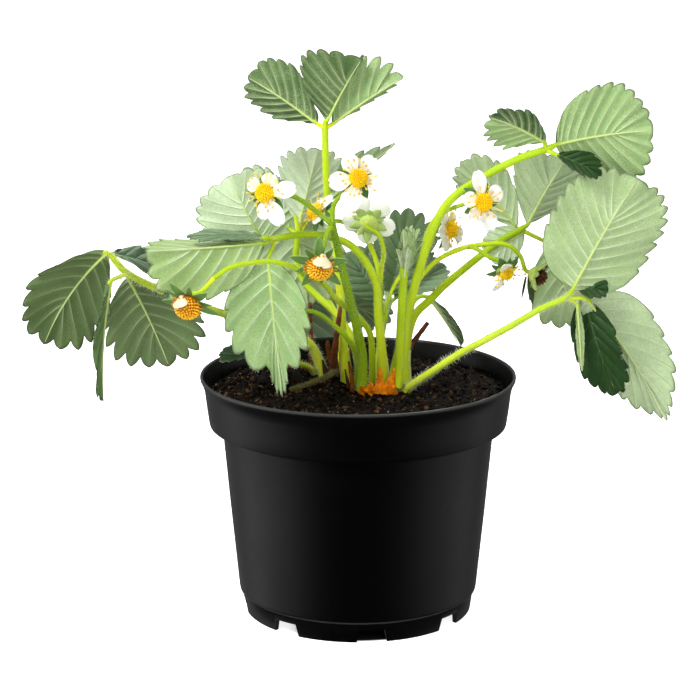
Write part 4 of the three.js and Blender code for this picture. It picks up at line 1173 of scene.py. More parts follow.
LEAVES = (
    Leaf("leaf_far_left", (
        (-14.4, 14.6, 95.2), (-19, 12, 108), (-25.5, 8, 113.5), (-40, 0, 121), (-56, -8, 127.5),
        (-68, -14, 133), (-78, -20, 139), (-91.5, -28, 148)), (1.9, 1.3), (
        Leaflet((-99, -31, 157), (-124.5, -36, 121), (-0.5, 0.8, 0.3), 20.5, (-4, 6), -20, 45, 1, 8,
                Tint.DEEP, 0.17),
        Leaflet((-97.5, -35, 146.5), (-100.5, -48, 101), (-1, 0.05, 0.1), 9, (12, 12), 0, 14, 0.8, 7,
                Tint.DARK),
        Leaflet((-91.5, -24, 145), (-77, -10, 105.5), (0.1, 0.95, 0.3), 22, (0, 0), -10, 24, 1, 8,
                Tint.DEEP, 0.19),
        Leaflet((-98, -22, 154.5), (-79, -6, 144), (0.15, -0.6, 0.75), 8, (14, 0), 0, 30, 0.8, 5,
                Tint.SHADE, 0.2),
    ), "dark_leaf", 16.0, 1.8, (1.15, 1.08, 2.4), under=SHADED_UNDER_FACE),
    Leaf("leaf_left", (
        (10.5, -6.8, 95.2), (9.6, -12.6, 112.5), (8, -18, 128.5), (7.5, -22, 141), (4.3, -26, 150),
        (0, -30, 157), (-5.6, -33, 162), (-14, -36, 165), (-22, -39, 166), (-32, -42, 165)), (2.0, 1.2), (
        Leaflet((-36.5, -46, 164), (-81.5, -58, 163), (-0.2, 0.8, -0.55), 22, (36, 55), 0, 12, 0.8, 8,
                Tint.GRASS, 0.14, (0.7, 0.45)),
        Leaflet((-37, -41, 163), (-50, -45, 190), (-0.1, 0.95, 0.25), 19.5, (6, 30), 0, -24, 0.8, 8,
                Tint.MINT, 0.1, (0.7, 0.45), pleat=0.12),
        Leaflet((-35, -43.5, 157.5), (-29.8, -47, 102.6), (-0.26, 0.95, 0.1), 20, (-56, 2), 0, 14, 1, 8,
                Tint.FRESH, 0.16, (0.62, 0.6), 0.13, pleat=0.3),
        Leaflet((-36, -47.5, 166.4), (-66, -47.5, 166.4), (0.05, -0.45, 0.9), 3.6, (0, 0), 0, 14, 0.4, 6,
                Tint.SLATE),
    )),
    Leaf("leaf_top", (
        (-4.5, 5, 95.2), (-6, 4.5, 110), (-7.5, 3, 135), (-9, 1, 151.5), (-11.5, -2, 166),
        (-12.8, -5, 180), (-13.2, -9, 203)), (1.9, 1.3), (
        Leaflet((-12.4, -11, 206.5), (1, -12, 231), (-0.5, 0.83, 0.25), 24, (4, 50), 0, 12, 0.6, 9, Tint.DARK,
                0.15, (1.0, 0.4), pleat=0.9),
        Leaflet((-16.5, -9, 205), (-44, -6, 223.3), (0.31, 0.8, 0.5), 16, (10, 8), 0, 12, 0.6, 8, Tint.DARK,
                0.13, (0.9, 0.42), pleat=0.7),
        Leaflet((-10, -9, 205), (18.5, -6, 223.5), (-0.34, 0.8, 0.5), 15, (34, 38), 0, 12, 0.6, 7, Tint.FRESH,
                0.3, pleat=0.9),
    ), stalk_tint=(1.5, 1.4, 2.2), under=RIBBED_FACE),
    Leaf("leaf_back_left", (
        (2, 4.8, 95.2), (-2, 11, 110.5), (-8.3, 18, 120), (-16, 23, 126.5), (-22.5, 27, 132.5),
        (-26, 29.5, 142), (-25, 30, 152)), (1.8, 1.3), (
        Leaflet((-24.5, 30.5, 156), (-16.5, 22, 189.5), (-0.1, 0.95, 0.3), 14.5, (12, 12), 0, 16, 0.8, 8,
                Tint.MIST, 0.18, (0.9, 0.42)),
        Leaflet((-21, 33, 158), (15.5, 28, 191), (-0.5, 0.8, 0.3), 8.5, (40, 40), 0, 10, 0.6, 7, Tint.SHADE,
                0.16, (0.9, 1.0)),
        Leaflet((-29, 34, 154), (-52, 44, 174), (0.35, 0.8, 0.5), 15, (12, 12), 0, 16, 0, 7, Tint.MINT),
        Leaflet((-27, 31.5, 165), (-21, 37, 119), (-0.1, 0.95, 0.25), 20, (0, 0), 0, 20, 1, 7,
                Tint.PALE, 0.14),
    )),
    Leaf("leaf_back", (
        (8, 7, 95.2), (9, 14, 108), (11, 22, 117.5), (12.3, 26, 123)), (1.6, 1.2), (
        Leaflet((12.8, 28, 126.5), (21, 25, 165), (0.25, -0.8, 0.45), 15, (10, 10), 0, 20, 0.8, 7,
                Tint.SLATE, 0.16),
        Leaflet((15.5, 29, 125), (37, 36, 137), (-0.2, -0.55, 0.8), 12, (14, 14), 0, 22, 0, 7, Tint.SLATE),
        Leaflet((9.5, 27, 124.5), (-5, 25, 145), (0.2, -0.75, 0.55), 12.5, (14, 14), 0, 16, 0, 7, Tint.SLATE),
    ), "dark_leaf"),
    Leaf("leaf_right_high", (
        (19.2, 1, 95.2), (18.8, -0.3, 107), (19.5, -3.5, 124), (22.6, -8, 137), (25, -12, 147.5),
        (29.5, -16, 162.5), (36.8, -21, 176.5), (51, -26, 187.5), (63, -30, 194.5), (73, -32.5, 198.5)),
        (2.1, 1.4), (
        Leaflet((77, -33.5, 200.5), (114, -38, 207), (-0.1, 0.93, 0.35), 21.5, (8, -12), 0, 22, 1, 10,
                Tint.FRESH, 0.1, (0.62, 0.42), pleat=0.5),
        Leaflet((72.5, -33.5, 201.5), (50.8, -37, 212), (0.25, 0.7, 0.6), 14.5, (0, -4), -16, 20, 0.8, 8,
                Tint.FRESH, 0.2, dark_half=1, pleat=0.5),
        Leaflet((77.3, -35.5, 196.8), (94.5, -40, 189), (0.25, -0.7, 0.65), 6.5, (16, 16), 0, 24, 0.3, 6,
                Tint.DARK),
    ), stalk_tint=(1.0, 1.04, 1.1), under=RIBBED_FACE),
    Leaf("leaf_right_middle", (
        (19.5, 7.6, 95.2), (19.8, 8.5, 108), (23, 10, 121.5), (30, 12, 128.5), (36, 13, 134.5),
        (49.5, 15, 145.5), (58, 16, 152), (67, 17, 157)), (1.9, 1.3), (
        Leaflet((70, 17.5, 159), (84, 8, 187), (-0.1, 0.9, 0.35), 18, (14, 14), 0, 22, 0.8, 8, Tint.PALE,
                0.14, (1.0, 0.35)),
        Leaflet((65.5, 17.5, 157.5), (42, 8, 187), (0.1, 0.95, 0.2), 11.5, (14, 14), 0, 22, 0.8, 7, Tint.PALE,
                pleat=0.3),
        Leaflet((80, 20, 150), (92, 27, 113), (0.1, 0.95, 0.25), 17, (0, 0), -12, 26, 1, 7, Tint.SAGE),
        Leaflet((68, 17, 156), (53, 15, 146), (0.05, 0.98, 0.1), 8.5, (0, 0), 0, 12, 0.5, 6, Tint.MINT, 0.06,
                (0.6, 0.4), pleat=0.2),
    ), stalk_tint=(0.8, 0.82, 0.5)),
    Leaf("leaf_right_low", (
        (20.2, -8.6, 95.2), (22.3, -11.6, 98.4), (29.5, -16, 104.5), (41, -20, 113.5), (49, -24, 119),
        (60.5, -28, 126.5), (72, -32, 134.5), (82, -35, 140)), (1.6, 1.2), (
        Leaflet((84.5, -37.5, 144), (108.8, -38, 188.4), (-0.1, 0.97, 0.2), 23.4, (6, 6), 0, 18, 1, 11,
                Tint.SAGE, 0.1, (0.38, 0.32), pleat=0.3),
        Leaflet((90, -35.5, 139.5), (124.5, -24, 87), (0.3, 0.9, 0.35), 17.5, (40, 6), -10, 26, 1, 10,
                Tint.PALE, 0.09, (0.6, 0.75), pleat=0.35),
        Leaflet((90, -30, 139), (103.5, -29, 99), (-0.5, -0.75, 0.2), 11, (10, 10), 0, 26, 1, 7,
                Tint.DARK, 0.12, (0.6, 0.45)),
        Leaflet((86.4, -35, 137.3), (88.6, -35.5, 110.5), (0.35, 0.9, 0.1), 1.8, (0, 0), 0, 16, 0, 5,
                Tint.GRASS, 0.0, (0.8, 0.8)),
        Leaflet((86.5, -34, 143.4), (98.5, -36, 142.6), (0.1, -0.75, 0.6), 6.2, (24, 0), 0, 40, 0.3, 5,
                Tint.DARK, 0.14),
    ), "leaf", 15.0, 1.7, (1.12, 1.1, 2.2)),
    Leaf("leaf_behind_pot", (
        (-9, 22, 95.2), (-7.5, 26, 106), (-9, 31, 115), (-12, 37, 121), (-17, 44, 124), (-21, 51, 123)),
        (1.7, 1.3), (
        Leaflet((-22.5, 55.5, 121), (-25, 67.5, 86), (-0.1, 0.85, 0.4), 17, (4, 4), 0, 34, 0, 7, Tint.SLATE),
        Leaflet((-25.5, 53, 122), (-58, 60, 108), (-0.3, 0.4, 0.85), 13, (6, 6), 0, 34, 0, 7, Tint.PALE),
        Leaflet((-17.5, 55.5, 121.5), (14, 63, 106), (0.1, 0.9, 0.35), 11, (6, 6), 0, 24, 0, 7, Tint.SLATE),
    )),
    Leaf("leaf_at_rim", (
        (-18.5, 17, 95.2), (-20.5, 11, 100), (-26, 2, 104), (-36, -6, 108.5)), (1.2, 0.9), (
        Leaflet((-39, -8, 109), (-56, -13, 108), (-0.1, -0.3, 0.95), 6.5, (20, 20), 0, 30, 0, 6, Tint.DARK),
        Leaflet((-37.5, -9, 108.5), (-42, -18, 106), (-0.1, -0.2, 0.95), 4.5, (20, 20), 0, 30, 0, 5,
                Tint.DARK),
        Leaflet((-37.5, -4.5, 109), (-47, 8, 109), (-0.1, 0, 0.95), 6.5, (20, 20), 0, 30, 0, 5, Tint.DARK),
    ), "dark_leaf"),
    Leaf("leaf_folded", (
        (13.8, 9.3, 95.2), (16.3, 11.8, 106), (21.5, 15, 123), (25, 18, 128), (29, 19.5, 128)), (1.1, 0.8), (
        Leaflet((30.5, 20, 126.5), (43, 24, 105.5), (0.8, -0.1, 0.55), 3.4, (68, 68), 0, 12, 0, 6, Tint.DEEP),
    ), "dark_leaf"),
)


@dataclass(frozen=True)
class YoungLeaf:
    """The youngest leaf: a stout stem with leaflets still folded, pale and silky."""

    stem: tuple[Point, ...] = ((16.3, -4.4, 91), (16.3, -4.4, 95.2), (16.8, -6, 106), (17.5, -8.5, 123.5),
                               (18, -10.5, 136.5), (18.5, -11.5, 147))
    side_stem: tuple[Point, ...] = ((17.6, -10.5, 144), (14.5, -11.5, 139.5), (11.8, -12.5, 132.5),
                                    (11, -12.5, 127))
    blades: tuple[Leaflet, ...] = (
        Leaflet((18.2, -12, 142), (17.7, -13, 163), (0.9, 0.5, 0), 4.8, (66, 66), 0, 10, 0, 6,
                Tint.GRASS, 0.26),
        Leaflet((19.0, -11.5, 143), (21.6, -12, 164.4), (-0.6, 0.8, 0), 4.6, (66, 66), 0, 8, 0, 6,
                Tint.FRESH, 0.26),
        Leaflet((19.6, -11.2, 145), (24.6, -11.5, 163), (-0.9, 0.3, 0.1), 4.4, (66, 66), 0, 12, 0, 6,
                Tint.GRASS, 0.26),
        Leaflet((17.6, -11.4, 142), (15.4, -12.5, 155), (0.9, 0.4, 0), 4.0, (66, 66), 0, 14, 0, 5,
                Tint.SAGE, 0.26),
        Leaflet((19.6, -10.6, 144), (25.8, -9, 157), (-0.9, 0.4, 0), 3.8, (66, 66), 0, 14, 0, 5,
                Tint.FRESH, 0.26),
        Leaflet((18.6, -12.8, 143), (19.6, -14.2, 156), (0.3, 0.95, 0), 3.6, (60, 60), 0, -10, 0, 5,
                Tint.MINT, 0.26),
        Leaflet((11.2, -12.5, 128), (10.6, -13, 138), (0.9, 0.4, 0), 2.6, (76, 76), 0, 10, 0, 5,
                Tint.FRESH, 0.24),
    )

    MAIN = Stalk(10, 12.0, 1.0, (1.1, 1.1, 1.05), 0.05, rooted=True)
    MAIN_GIRTH = (2.0, 1.7)
    SIDE = Stalk(8, 6.0, 0.9)
    SIDE_GIRTH = (0.9, 0.6)
    THICKNESS = 0.4

    def build(self, rng: random.Random, hairs: Draft) -> None:
        """Builds the stem and the folded blades as two pieces.

        Args:
            rng: the source of chance.
            hairs: the draft that takes the hairs.
        """
        stalk = Draft("young_leaf_stem")
        for kind, points, girth in ((self.MAIN, self.stem, self.MAIN_GIRTH),
                                    (self.SIDE, self.side_stem, self.SIDE_GIRTH)):
            path = smooth_path(points)
            kind.add_to(stalk, hairs, path, np.linspace(*girth, len(path)), rng)
        stalk.piece([STALK], "stalk", ["young_leaf"])
        blades = Draft("young_leaf_blades")
        for blade in self.blades:
            blade.sheet().add_to(blades, self.THICKNESS, 0, 1, blade.tint.value)
            add_hairs(hairs, blade.midrib(), np.full(blade.RIB_POINTS, 0.5), rng, 3.0, 0.9)
        blades.piece([UPPER_FACE, UNDER_FACE], "leaf", ["young_leaf"])


# Blooms


class Stage(Enum):
    """How far a bloom has come."""

    OPEN = "open"
    FRUIT = "fruit"
    WITHERED = "withered"


@dataclass(frozen=True)
class BloomShape:
    """Sizes, numbers and colours that blooms of one stage share.

    Paired tints are those of the upper and the under face.
    """

    slot: str
    heart_radius: float
    heart_height: float
    knobs: int
    heart_colour: Colour
    knob_colour: Colour
    stamens: int
    stamen_length: Span
    anther_colour: Colour
    filament_colour: Colour
    sepals: int
    sepal_length: float
    sepal_rise: float
    sepal_tints: tuple[Colour, Colour]
    petal_tints: tuple[Colour, Colour] = (linear(250, 250, 246), linear(242, 246, 228))


STAGES = {
    Stage.OPEN: BloomShape(
        "heart", 3.25, 2.8, 95, linear(246, 184, 0), linear(255, 214, 8), 22, (1.4, 4.9),
        linear(252, 208, 92), linear(244, 224, 96), 10, 8.6, -0.25,
        (linear(76, 120, 54), linear(160, 186, 98))),
    Stage.FRUIT: BloomShape(
        "ripening_heart", 4.8, 4.6, 130, linear(190, 108, 10), linear(250, 198, 44), 24, (0.8, 2.0),
        linear(212, 132, 34), linear(240, 190, 60), 10, 13.2, 0.0,
        (linear(92, 136, 56), linear(172, 200, 104)), (linear(236, 222, 184), linear(232, 220, 180))),
    Stage.WITHERED: BloomShape(
        "withered_heart", 3.2, 3.2, 45, linear(78, 40, 10), linear(122, 70, 22), 14, (1.6, 3.4),
        linear(126, 76, 46), linear(120, 74, 40), 8, 8.8, 0.5,
        (linear(96, 130, 60), linear(174, 200, 108))),
}


@dataclass(frozen=True)
class Bloom:
    """A bloom, fruit or withered bloom: its centre, the direction it faces and its petals.

    A petal is given by its angle in degrees, its length and half its width.
    """

    name: str
    centre: Point
    facing: Point
    petals: tuple[Point, ...]
    stage: Stage = Stage.OPEN
    petal_start: float = 1.6
    petal_lean: float = 3.0
    size: float = 1.0

    GOLDEN_ANGLE = math.pi * (3 - math.sqrt(5))
    PETAL_WIDEST = 0.58
    PETAL_THICKNESS = 0.22
    DOME_FOOT = 0.4
    KNOB = 0.42
    FILAMENT = (0.17, 0.11)
    ANTHER = (0.44, 0.64)
    SEPAL_HALF = (1.9, 1.3)
    SEPAL_THICKNESS = 0.3
    CUP = ((1.0, -4.2), (2.2, -3.6), (3.3, -2.7), (3.9, -1.9), (3.7, -1.1), (0.1, -0.9))
    CUP_SIDES = 14
    CUP_GREEN = linear(188, 208, 98)
    CUP_HAIRS = 60

    def pose(self) -> Matrix:
        """Gives the move from a bloom that faces up at the origin to its place."""
        towards = Vector(self.facing).normalized()
        turn = Vector((0, 0, 1)).rotation_difference(towards).to_matrix().to_4x4()
        return Matrix.Translation(Vector(self.centre)) @ turn

    def moved(self, points: np.ndarray) -> np.ndarray:
        """Takes points of the upright bloom to its place."""
        pose = np.array(self.pose())
        return points @ pose[:3, :3].T + pose[:3, 3]

    def spot(self, point: Sequence[float]) -> np.ndarray:
        """Takes one point of the upright bloom to its place."""
        return self.moved(np.array([point], float))[0]

    def heading(self, direction: Sequence[float]) -> np.ndarray:
        """Turns a direction of the upright bloom as the bloom is turned."""
        return self.spot(direction) - np.array(self.centre)

    def spread(self, x: np.ndarray, y: np.ndarray, z: np.ndarray, angle: float) -> np.ndarray:
        """Turns points along the x axis to an angle round the bloom and takes them to its place."""
        cosine, sine = math.cos(angle), math.sin(angle)
        return self.moved(np.stack([x * cosine - y * sine, x * sine + y * cosine, z], -1).reshape(-1, 3))

    def petal_sheet(self, petal: Point, rng: random.Random) -> Sheet:
        """Builds one petal: a narrow claw that widens to a round, slightly cupped blade.

        Args:
            petal: its angle in degrees, its length and half its width.
            rng: the source of chance.

        Returns:
            The petal's sheet.
        """
        angle, length, width = math.radians(petal[0]), petal[1], petal[2]
        u, v = blade_grid(11, 9)
        widest = self.PETAL_WIDEST
        half = np.where(u < widest, 0.24 + 0.76 * smoothstep(0.0, widest, u),
                        np.sqrt(np.maximum(1 - ((u - widest) / (1 - widest)) ** 2 * 0.93, 0)))
        half = half * width * self.size
        reach = length * self.size * (u - 0.06 * (1 - np.abs(v)) ** 2 * u ** 8)
        lean = math.radians(self.petal_lean + rng.uniform(-6, 6))
        waves = 0.3 * np.sin(3.1 * v + rng.uniform(0, 6)) * u
        rise = 0.9 * (v ** 2) * np.sin(np.pi * np.minimum(u, 1)) + waves + 0.5 * u ** 2
        x = self.petal_start + reach * math.cos(lean) - rise * math.sin(lean)
        z = -0.2 + reach * math.sin(lean) + rise * math.cos(lean)
        return grid_sheet(self.spread(x, v * half, z, angle), u, v)

    def build_petals(self, rng: random.Random) -> None:
        """Builds the petals as one piece."""
        draft = Draft(f"{self.name}_corolla")
        tints = STAGES[self.stage].petal_tints
        for petal in self.petals:
            self.petal_sheet(petal, rng).add_to(draft, self.PETAL_THICKNESS, 0, 0, tints)
        draft.piece([PETAL], "petal", [f"{self.name}_petals"])

    def build_heart(self, rng: random.Random) -> None:
        """Builds the dome of pistils and the stamens round it as one piece."""
        shape = STAGES[self.stage]
        draft = Draft(f"{self.name}_centre")
        radius, height = shape.heart_radius * self.size, shape.heart_height * self.size
        add_bead(draft, self.spot((0, 0, self.DOME_FOOT)), (radius * 0.92, height * 0.95),
                 self.heading((0, 0, 1)), 0, shape.heart_colour, 16, 10)
        for knob in range(shape.knobs):
            level = 1 - (knob + 0.5) / shape.knobs * 1.12
            ring = math.sqrt(max(0.0, 1 - level ** 2))
            angle = knob * self.GOLDEN_ANGLE
            out = np.array([ring * math.cos(angle), ring * math.sin(angle), level])
            centre = self.spot((out[0] * radius, out[1] * radius, self.DOME_FOOT + out[2] * height))
            wide = self.KNOB * rng.uniform(0.85, 1.15)
            tint = toned(shape.knob_colour, rng.uniform(0.85, 1.1))
            add_bead(draft, centre, (wide, wide * 1.5), self.heading(out), 0, tint)
        for stamen in range(shape.stamens):
            angle = 2 * math.pi * (stamen + rng.uniform(-0.3, 0.3)) / shape.stamens
            length = rng.uniform(*shape.stamen_length)
            out = spoke(angle)
            start = out * radius * 0.88 + [0, 0, 0.1]
            knee = start + out * length * 0.5 + [0, 0, 0.55 * length * rng.uniform(0.6, 1.1)]
            end = knee + out * length * 0.55 + [0, 0, rng.uniform(-0.2, 0.5)]
            path = smooth_path(self.moved(np.array([start, knee, end])), 3)
            add_tube(draft, path, np.linspace(*self.FILAMENT, len(path)), 4, 0, shape.filament_colour)
            tint = toned(shape.anther_colour, rng.uniform(0.7, 1.1))
            add_bead(draft, path[-1], self.ANTHER, path[-1] - path[-2], 0, tint)
        draft.piece([HEART], shape.slot, [f"{self.name}_heart"])

    def sepal_sheet(self, angle: float, length: float, half: float, rise: float) -> Sheet:
        """Builds one pointed sepal that grows from the cup's edge."""
        u, v = blade_grid(8, 5)
        width = half * np.maximum(np.sin(np.pi * (0.18 + 0.82 * u)) ** 0.8, 0.02)
        x = 1.8 + u * length * (1 - 0.25 * abs(rise) * u)
        z = -1.9 + rise * length * u ** 1.6 * 0.9 + 0.5 * v ** 2 * np.sin(np.pi * u)
        return grid_sheet(self.spread(x, v * width, z, angle), u, v)

    def add_cup(self, draft: Draft, hairs: Draft, rng: random.Random) -> None:
        """Adds the green cup and its sepals, large and small by turns, to the truss's piece, in slot 1.

        Args:
            draft: the truss's draft.
            hairs: the draft that takes the hairs.
            rng: the source of chance.
        """
        shape = STAGES[self.stage]
        draft.add(self.moved(turned(self.CUP, self.CUP_SIDES)), ring_faces(len(self.CUP), self.CUP_SIDES), 1,
                  self.CUP_GREEN)
        for sepal in range(shape.sepals):
            angle = 2 * math.pi * (sepal + 0.5) / shape.sepals + rng.uniform(-0.08, 0.08)
            large = sepal % 2 == 0
            length = shape.sepal_length * (1.0 if large else 0.8) * rng.uniform(0.88, 1.08) * 0.8
            rise = shape.sepal_rise + rng.uniform(-0.18, 0.18)
            sheet = self.sepal_sheet(angle, length, self.SEPAL_HALF[0 if large else 1], rise)
            sheet.add_to(draft, self.SEPAL_THICKNESS, 1, 1, shape.sepal_tints)
        for _ in range(self.CUP_HAIRS):
            angle, level = rng.uniform(0, 2 * math.pi), rng.uniform(-4, -1.5)
            out = spoke(angle, -0.2)
            root = self.spot((out[0] * 2.4, out[1] * 2.4, level))
            lean = unit(self.heading(out))
            add_hair(hairs, root, lean, unit(np.cross(lean, [0.2, 0.5, 0.8])), rng.uniform(0.9, 1.5))


BLOOMS = {bloom.name: bloom for bloom in (
    Bloom("bloom_1", (-35.8, -52, 184.8), (-0.3, -0.93, 0.2), (
        (353, 12.0, 3.4), (284, 12.6, 3.4), (253, 8.8, 2.8), (130, 6.4, 3.0), (51, 6.2, 3.4))),
    Bloom("bloom_2", (0, -46, 189.5), (0.2, -0.95, 0.22), (
        (61, 8.8, 3.8), (130, 8.8, 3.6), (199, 10.4, 3.8), (261, 12.0, 4.4), (358, 9.4, 3.8))),
    Bloom("bloom_3", (-16.5, -23, 171.5), (-0.75, -0.3, 0.6), (
        (350, 8.6, 3.2), (270, 6.6, 2.6), (40, 5.6, 2.6))),
    Bloom("bloom_4", (4.3, -24, 168.5), (0.1, 0.95, 0.25), (
        (20, 9.4, 4.2), (92, 8.6, 4.2), (164, 9.2, 4.2), (236, 9.6, 4.4), (308, 9.0, 4.2))),
    Bloom("bloom_5", (48.8, -35, 178), (0.42, -0.88, 0.1), (
        (127, 11.4, 3.2), (56, 7.8, 3.6), (309, 10.2, 3.7), (254, 7.8, 3.2), (190, 7.6, 3.2))),
    Bloom("bloom_6", (60, -7, 144), (0.4, -0.6, -0.65), ((295, 12.3, 2.9), (157, 7.7, 3.4)), size=0.76),
    Bloom("bloom_7", (37.4, 9.5, 158.5), (0.85, -0.5, 0.1), (
        (283, 8.9, 3.4), (240, 8.2, 3.2), (196, 9.6, 3.4), (126, 6.0, 3.0), (30, 7.6, 3.4))),
    Bloom("berry_1", (-65, -66, 143.6), (-0.25, -0.75, -0.6), ((84, 5.6, 3.3),), Stage.FRUIT, 5.8, 96),
    Bloom("berry_2", (-14.8, -56, 156.6), (0, -0.9, -0.4), ((76, 6.8, 3.9),), Stage.FRUIT, 6.2, 98, 0.96),
    Bloom("withered_bloom", (73, -3, 141.6), (0.88, -0.1, -0.46), (), Stage.WITHERED),
)}


@dataclass(frozen=True)
class Branch:
    """A branch of a truss, from a point on its stalk to the cup of a bloom."""

    start: Point
    via: tuple[Point, ...]
    bloom: str


@dataclass(frozen=True)
class Truss:
    """A flower truss: a main stalk and its branches."""

    name: str
    stem: tuple[Point, ...]
    girth: Span
    branches: tuple[Branch, ...]
    tint: Colour = WHITE
    hanging_sepals: tuple[tuple[Point, Point, float], ...] = ()

    STALK_SINK = 3.2
    LAST_RUN = 2.6
    BRANCH_GIRTH = (1.05, 0.8)
    SEPAL_POINTS = 9
    SEPAL_TINT = linear(56, 72, 34)

    def build(self, rng: random.Random, hairs: Draft) -> None:
        """Builds the stalks with their green cups as one piece, and the blooms on them.

        Args:
            rng: the source of chance.
            hairs: the draft that takes the hairs.
        """
        draft = Draft(f"{self.name}_stalks")
        path = smooth_path([np.array(self.stem[0]) - [0, 0, FOOT_DEPTH], *self.stem])
        main = Stalk(10, 6.0, 1.1, self.tint, 0.04, rooted=True)
        main.add_to(draft, hairs, path, stalk_radii(path, self.girth), rng)
        for branch in self.branches:
            bloom = BLOOMS[branch.bloom]
            behind = np.array(Vector(bloom.facing).normalized())
            ends = [np.array(bloom.centre) - behind * (self.STALK_SINK + more)
                    for more in (self.LAST_RUN, 0.0)]
            line = smooth_path([branch.start, *branch.via, *ends])
            start, end = self.BRANCH_GIRTH
            Stalk(8, 5.0, 1.0, self.tint).add_to(
                draft, hairs, line, np.linspace(min(self.girth[1], start), end, len(line)), rng)
            bloom.add_cup(draft, hairs, rng)
            if bloom.petals:
                bloom.build_petals(rng)
            bloom.build_heart(rng)
        for start, end, half in self.hanging_sepals:
            line = np.linspace(start, end, self.SEPAL_POINTS)
            widths = half * np.sin(np.pi * np.linspace(0.2, 0.98, self.SEPAL_POINTS))
            add_tube(draft, line, widths, 6, 1, self.SEPAL_TINT, flat=0.3)
        draft.piece([STALK, GREEN], "stalk", [self.name])


TRUSSES = (
    Truss("truss_left", (
        (1.5, -8.6, 95.2), (1.6, -9.5, 109), (0.4, -13, 117.5), (-1.6, -19, 128.5), (-5.2, -30, 146),
        (-8.6, -40, 163), (-10.4, -43, 172)), (2.2, 1.4), (
        Branch((-10, -42.6, 170.5), ((-15.5, -44, 175.5), (-22, -47, 181), (-27, -49, 183.5)), "bloom_1"),
        Branch((-10, -42.6, 170.5), ((-9.6, -43, 178), (-6.5, -42.5, 182.5)), "bloom_2"),
        Branch((-10, -42.6, 170), ((-12, -46, 168), (-13.2, -49, 163.5)), "berry_2"),
    ), (0.4, 0.54, 0.5)),
    Truss("truss_far_left", (
        (5.7, -2.4, 95.2), (5.8, -2.4, 106), (5, -3, 117), (1, -7, 124.5), (-4, -14, 130.5), (-9, -24, 137),
        (-13.5, -34, 145), (-21, -46, 152), (-28, -51, 156.5), (-35.5, -54.5, 158.5), (-48, -59, 157.5),
        (-55, -61, 153.5)), (1.3, 0.95), (
        Branch((-55, -61, 153.5), ((-60, -62.5, 148.5),), "berry_1"),
    )),
    Truss("truss_middle", (
        (10.2, -0.5, 95.2), (9.8, -2.5, 113), (9, -7, 132), (8.9, -11, 141)), (1.3, 1.1), (
        Branch((8.9, -11, 140.5), ((9.3, -19, 149), (10.2, -27, 156), (8.2, -32, 164.5)), "bloom_4"),
        Branch((8.9, -10.5, 139.5), ((7.5, -13, 149), (4, -12.5, 157.5), (-1, -13, 162.5), (-6, -16, 166.5)),
               "bloom_3"),
    )),
    Truss("truss_right", (
        (13.8, 2.8, 95.2), (16.2, 3.8, 107), (20.5, 5, 121.5), (24, 6, 138)), (1.6, 1.3), (
        Branch((23.8, 6, 137.5), ((26, 2, 149), (27.5, -3, 158), (31, -7, 166), (36, -14, 171),
                                  (42, -25, 175.5)), "bloom_5"),
        Branch((23.8, 6, 137.5), ((27, 8, 146), (30.5, 12, 154)), "bloom_7"),
        Branch((23.8, 6, 137), ((30.5, 5, 145), (38, 4, 150), (46, 3, 152.5), (53, -2, 149.5)), "bloom_6"),
        Branch((38, 4, 150), ((46, 3.3, 152.8), (59, 2, 154), (65.5, 0, 150)), "withered_bloom"),
    ), hanging_sepals=(
        ((68.2, -3.2, 141.5), (66.4, -4.2, 131.8), 0.6), ((69.6, -4.4, 141.5), (71, -5.4, 130), 1.5))),
)


@dataclass(frozen=True)
class BudStalk:
    """A thin stalk with a closed nodding bud."""

    stem: tuple[Point, ...] = ((-0.8, -3, 91.5), (-0.8, -3, 95.2), (-0.6, -5, 108), (-4, -8, 116),
                               (-9.5, -10, 122.5), (-16, -12, 128), (-22.5, -13.5, 129.5),
                               (-28, -15.5, 127.5), (-31, -17, 123))
    girth: Span = (1.1, 0.8)
    sepals: int = 7
    kind: Stalk = Stalk(8, 6.0, 1.0, (0.85, 0.95, 0.8), rooted=True)
    bud_tint: Colour = linear(128, 160, 76)
    sepal_tint: Colour = linear(120, 156, 76)

    def build(self, rng: random.Random, hairs: Draft) -> None:
        """Builds the stalk and the sepals that close over the bud.

        Args:
            rng: the source of chance.
            hairs: the draft that takes the hairs.
        """
        draft = Draft("bud_stalk_and_bud")
        path = smooth_path(self.stem)
        self.kind.add_to(draft, hairs, path, np.linspace(*self.girth, len(path)), rng)
        end = path[-1]
        add_bead(draft, end - [0.3, 0.2, 3.2], (1.6, 3.2), (0.2, 0.1, 1), 1, self.bud_tint, 10, 8)
        for sepal in range(self.sepals):
            out = spoke(2 * math.pi * sepal / self.sepals)
            line = smooth_path([end + out * 0.6, end + out * 1.9 - [0, 0, 3.5],
                                end + out * 1.4 - [0.6, 0.4, 8.5]])
            widths = 0.75 * np.sin(np.pi * np.linspace(0.3, 0.97, len(line)))
            add_tube(draft, line, widths, 6, 1, self.sepal_tint, flat=0.4)
        draft.piece([STALK, GREEN], "stalk", ["bud_stalk"])


# Foot of the plant: crowns, scales and dry remains


